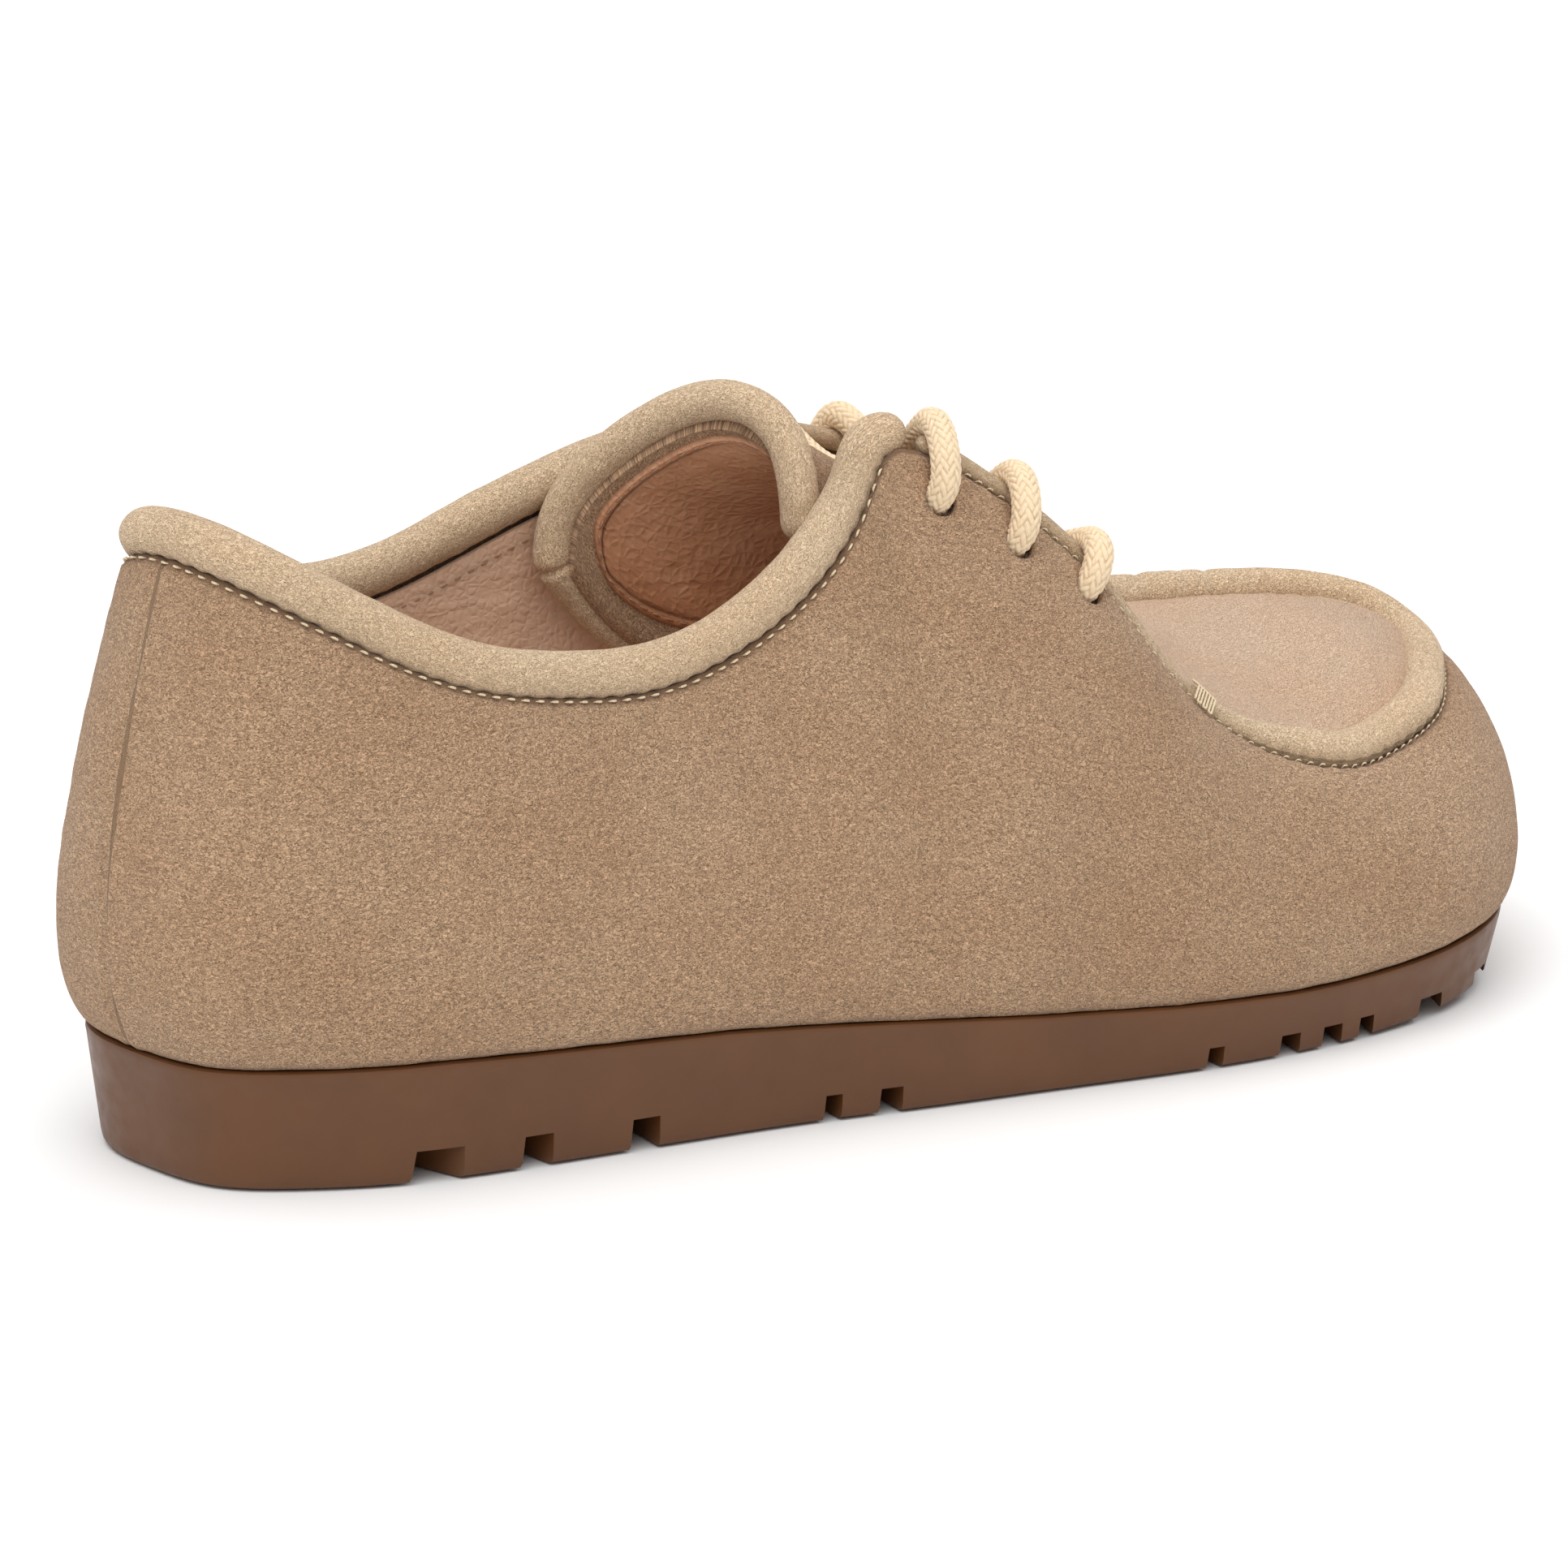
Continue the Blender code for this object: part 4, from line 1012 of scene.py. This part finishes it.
def throat_point(outer, inner, share, rise):
    """A point in the throat between two holes; the share runs from the outer hole to the inner one."""
    near, far = hole_frame(outer)[0], hole_frame(inner)[0]
    middle = near + (far - near) * share
    sheet = tongue_surface(np.linspace(0, 4, 17), np.linspace(0.3, 4, 20)).reshape(-1, 3)
    nearest = sheet[np.argmin(np.hypot(sheet[:, 0] - middle[0], sheet[:, 1] - middle[1]))]
    return np.array([middle[0], middle[1], nearest[2] + rise])


def lace_route():
    """One lace: a bar over the front row, then both ends cross twice on their way up the throat."""
    outer_1, outer_2, outer_3 = OUTER_HOLES
    inner_1, inner_2, inner_3 = INNER_HOLES
    shares_in = (0.3, 0.5, 0.7)
    shares_out = (0.7, 0.5, 0.3)

    def crossing(outer, inner, shares, rises):
        return [throat_point(outer, inner, share, rise) for share, rise in zip(shares, rises)]

    bar = crossing(outer_3, inner_3, shares_in, (9.5, 8.5, 9.5))
    low_front = crossing(outer_3, inner_2, shares_in, (4.6, 4.4, 7.5))
    high_front = crossing(outer_2, inner_3, shares_out, (5.0, 9.8, 9.5))
    high_top = crossing(outer_1, inner_2, shares_out, (5.0, 9.8, 9.5))
    low_top = crossing(outer_2, inner_1, shares_in, (4.6, 4.4, 7.5))
    outer_end, inner_end = ([wall([station], height, LACE_END_DEPTH)[0] for station, height in end]
                            for end in LACE_ENDS)
    to_outer_end = low_front + hole_stops(inner_2) + high_top + hole_stops(outer_1, True, False) + outer_end
    to_inner_end = high_front + hole_stops(outer_2) + low_top + hole_stops(inner_1, True, False) + inner_end
    front = hole_stops(outer_3, False) + bar + hole_stops(inner_3)
    return np.array(to_outer_end[::-1] + front + to_inner_end)


def braid_height(run, turn):
    """Height of a two-over, two-under braid, 0 to 1, at each place along and round a round cord."""
    pitch = 2 * pi * LACE_RADIUS * 1.15
    u = BRAID_STRANDS * (turn / (2 * pi) + run / pitch)
    v = BRAID_STRANDS * (turn / (2 * pi) - run / pitch)
    column, row = np.floor(u), np.floor(v)
    over = ((column + row) % 4) < 2
    off_u, off_v = u - column - 0.5, v - row - 0.5
    across = np.where(over, off_u, off_v)
    along = np.where(over, off_v, off_u)
    step = np.where(over, (column + row) % 4, (column + row) % 4 - 2)
    crown = np.sqrt(np.clip(1 - (across / 0.54)**2, 0, 1))
    swell = np.sqrt(np.clip(1 - ((along + step - 0.5) / 1.12)**2, 0, 1))
    return crown * (0.55 + 0.45 * swell)


def lace(finish, tip_finish):
    stops = lace_route()
    path = spline(stops, False)(np.linspace(0, len(stops) - 1, 6000))
    path = eased(resampled(path, 2600), 5.0)
    run = lengths(path)
    bare = AGLET_LENGTH - AGLET_LAP
    body = path[(run >= bare) & (run <= run[-1] - bare)]
    sides = 84 if DETAIL == 1 else 60
    turn = round_turns(sides)
    height = braid_height(lengths(body)[:, None], turn[None, :])
    radius = LACE_RADIUS - 0.4 + 0.5 * height
    # The braid's height also goes on the cord, to paint tan shade between its strands.
    cord = tube("lace_braid", body, radius, sides, finish, height, round_ends=False)
    tips = []
    for name, held in (("outer_aglet_tip", run < AGLET_LENGTH),
                       ("inner_aglet_tip", run > run[-1] - AGLET_LENGTH)):
        fine = capped(path[held], 40, LACE_RADIUS)
        wrap = 0.06 * np.sin(lengths(fine) * 2 * pi / 2.4)
        tips.append(tube(name, fine, LACE_RADIUS * 0.86 + wrap, 32, tip_finish))
    return cord, tips


# ---------------------------------------------------------------- stitches

def stitch_row(name, path, normal, finish, long, gap, radius, lift=0.1):
    """Short threads along a path, each arched over the surface and sunk at its ends."""
    run = lengths(path)
    count = int(run[-1] // (long + gap))
    spare = run[-1] - count * (long + gap)
    points, faces, places = [], [], []
    sides, rings = 7, 7
    turn = round_turns(sides)
    for index in range(count):
        at = spare / 2 + index * (long + gap) + np.linspace(0, long, rings)
        line = read(path, run, at)
        out = unit(read(normal, run, at))
        share = np.linspace(-1, 1, rings)
        along = unit(np.gradient(line, axis=0))
        aside = np.cross(along, out)
        line = line + out * (lift - 0.55 * share[:, None]**4)
        thick = radius * np.sqrt(np.clip(1.08 - share**2, 0.05, 1))
        ring = aside[:, None] * np.cos(turn)[:, None] + out[:, None] * np.sin(turn)[:, None]
        loops = line[:, None] + thick[:, None, None] * ring
        shift = len(points) * rings * sides
        faces += quads(rings, sides, False, True, shift, flip=True)
        faces.append(list(range(shift, shift + sides)))
        faces.append(list(range(shift + (rings - 1) * sides, shift + rings * sides))[::-1])
        points.append(loops.reshape(-1, 3))
        places.append(np.stack(np.broadcast_arrays(at[:, None], turn * radius), 2).reshape(-1, 2))
    return piece(name, np.concatenate(points), faces, finish, np.concatenate(places))


def wall_line(places, below, depth):
    """A line on the wall at a distance below its top edge, with the wall's directions there."""
    heights = np.linspace(0.8, 1.0, 60)
    _, v = arc_grid(wall_grid(places, heights)[0])
    found = np.array([np.interp(-below, -near_edge(v)[row], heights) for row in range(len(places))])
    return wall(places, found, depth), wall_normal(places, found)


def seams(light_thread, dark_thread):
    """The rows of stitches under the rolls and on the lining."""
    collar = even(INNER_CORNER - TURNS + 0.1, OUTER_CORNER - 0.25, detail(400))
    ring = even(*STITCHED_RING, detail(400))
    rolls = ((collar, "collar_stitches", 1.5, 0.2), (ring, "apron_stitches", 1.3, 0.16))
    made = [stitch_row(name, *wall_line(places, 0.12, 0.15), light_thread, long, 1.1, radius)
            for places, name, long, radius in rolls]
    line, normal = wall_line(collar, 3.0, LINING_DEPTH + 1.05)
    return [*made, stitch_row("lining_stitches", line, -normal, dark_thread, 1.8, 0.9, 0.16, 0.0)]


def bartack(name, station, finish):
    """Close zigzag threads over the narrow roll at the foot of a lace flap."""
    place = np.array([station])
    centre, normal = wall(place, 1.0)[0], wall_normal(place, 1.0)[0]
    past = beyond(place)[0]
    along = unit(np.cross(normal, past))
    crossings, long = 6, 4.0
    radius = ring_radius(place)[0]
    over = edge_roll(place, radius, ring_depth(place))[0]
    stops = []
    for index in range(crossings + 1):
        shift = along * ((index / crossings - 0.5) * long)
        low = centre - past * 2.4 + normal * 0.45 + shift
        high = over + normal * (radius + 0.3) + past * radius * 0.4 + shift
        rim = centre + normal * (radius + 0.1) + past * 0.3 + shift
        stops += [low, rim, high] if index % 2 else [high, rim, low]
    path = resampled(np.array(stops), detail(400))
    return tube(name, path, 0.2, 8, finish)


# ---------------------------------------------------------------- the whole shoe

def build():
    tan = suede("suede_tan_finish", (227, 189, 152), (142, 110, 82), (240, 228, 218))
    rolled = suede("suede_roll_finish", (252, 225, 190), (196, 165, 130), (248, 238, 226))
    pink = suede("suede_apron_finish", (240, 209, 180), (204, 170, 140), (248, 234, 222))
    leather = creased_leather("lining_leather_finish", (236, 203, 176), (220, 184, 156), 0.35)
    back_leather = creased_leather("tongue_leather_finish", (206, 158, 124), (172, 118, 82))
    rubber = gum_rubber()
    cotton = braid_cotton()
    resin = plain("aglet_finish", (206, 180, 140), (190, 160, 120), 2.0, 0.3, depth=0.03)
    light_thread = thread("light_thread_finish", (236, 220, 190), (196, 172, 136))
    dark_thread = thread("dark_thread_finish", (178, 138, 110), (138, 100, 74))

    whole = []

    def add(made, slot, *nodes):
        whole.append(made)
        if nodes:
            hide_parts(*nodes)
        return made

    add(upper_skin(tan), "suede_tan", "wrap_upper")
    collar = add(collar_roll(rolled), "roll_suede", "collar_piping")
    ring = add(apron_roll(rolled), "roll_suede", "apron_piping")
    add(apron_skin(pink), "apron_suede", "apron")
    add(lining_skin(leather), "lining_leather", "quarter_lining")
    add(sock_skin(leather), "sock_leather", "sock_lining")
    pad = add(heel_pad_skin(leather), "heel_pad_gel", "heel_pad")
    add(sole_skin(rubber), "gum_rubber", "outsole")
    cord, tips = lace(cotton, resin)
    add(cord, "lace_braid", "lace")
    for tip, node in zip(tips, ("outer_aglet", "inner_aglet")):
        add(tip, "aglet_resin", node)
    for made in seams(light_thread, dark_thread):
        add(made, "lace_braid")
    for name, station in BARTACKS:
        add(bartack(name, station, light_thread), "lace_braid")
    for made in whole:
        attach(made, "shoe")

    face, top = tongue_pad(tan), tongue_roll(rolled)
    back, line, facing = tongue_leather(back_leather)
    sewn = stitch_row("tongue_stitches", line, facing, dark_thread, 1.7, 0.9, 0.17)
    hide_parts("tongue_outer")
    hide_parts("tongue_lining")
    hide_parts("tongue_piping")
    for made in (face, back, sewn):
        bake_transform(made)
    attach(top, "tongue")


def dress_hidden():
    """Finishes for the CAD pieces that stay: the layers between suede and lining, and the sole's inside."""
    board = plain("board_finish", (176, 150, 118), (150, 124, 92), 1.2)
    foam = plain("foam_finish", (150, 134, 116), (128, 112, 96), 0.8, 0.95, depth=0.3)
    cork = plain("cork_finish", (170, 132, 92), (120, 86, 56), 1.6, 0.9, depth=0.3)
    steel = plain("steel_finish", (190, 190, 190), (160, 160, 160), 6.0, 0.35, 1.0, 0.02)
    tape = weave("tape_finish", (205, 190, 168), (160, 144, 120), 0.9)
    cloth = weave("cloth_finish", (196, 170, 140), (158, 130, 102), 0.7)
    twist = plain("twist_finish", (230, 224, 212), (200, 190, 172), 0.7, 0.8)
    finishes = (
        (board, "insole_board heel_counter toe_puff"), (foam, "footbed tongue_padding"),
        (cork, "midsole_filler"), (steel, "shank"), (tape, "outer_facing_tape inner_facing_tape"),
        (cloth, "vamp_lining apron_lining"), (twist, "collar_cord apron_cord tongue_cord"),
    )
    for finish, names in finishes:
        for name in names.split():
            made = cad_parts[name]
            made.data.materials.clear()
            made.data.materials.append(finish)


def aimed(name, data, location, direction):
    """A light or a camera that looks in a direction."""
    made = bpy.data.objects.new(name, data)
    made.location = location
    made.rotation_euler = direction.to_track_quat("-Z", "Y").to_euler()
    bpy.context.scene.collection.objects.link(made)
    return made


def stage_and_light():
    """A pale floor, a soft white room, and two wide soft suns from above."""
    scene = bpy.context.scene
    scene.view_settings.view_transform = "Standard"
    world = bpy.data.worlds.new("studio")
    scene.world = world
    world.use_nodes = True
    sky = world.node_tree.nodes["Background"]
    sky.inputs["Color"].default_value = (1, 1, 1, 1)
    sky.inputs["Strength"].default_value = ROOM_LIGHT
    mesh = bpy.data.meshes.new("floor")
    corners = [(x * FLOOR_HALF, y * FLOOR_HALF, 0) for x, y in ((-1, -1), (1, -1), (1, 1), (-1, 1))]
    mesh.from_pydata(corners, [], [(0, 1, 2, 3)])
    pale = Finish("floor_finish", 0.9, specular=0.1)
    pale.shader.inputs["Base Color"].default_value = (0.93, 0.93, 0.93, 1)
    mesh.materials.append(pale.made)
    floor = bpy.data.objects.new("floor", mesh)
    floor.location = (0, 0, -FLOOR_DROP)
    scene.collection.objects.link(floor)
    for name, source, strength, spread in SUNS:
        lamp = bpy.data.lights.new(name, "SUN")
        lamp.energy = strength
        lamp.angle = radians(spread)
        aimed(name, lamp, source, -Vector(source))


def camera():
    around, above = radians(CAMERA_AZIMUTH), radians(CAMERA_ELEVATION)
    away = Vector((-sin(around) * cos(above), -cos(around) * cos(above), sin(above)))
    lens = bpy.data.cameras.new("camera")
    lens.lens = CAMERA_LENS
    lens.sensor_width = 36
    lens.clip_start = 0.01
    eye = Vector(CAMERA_TARGET) + away * CAMERA_DISTANCE
    bpy.context.scene.camera = aimed("camera", lens, eye, -away)


camera()
stage_and_light()
build()
dress_hidden()
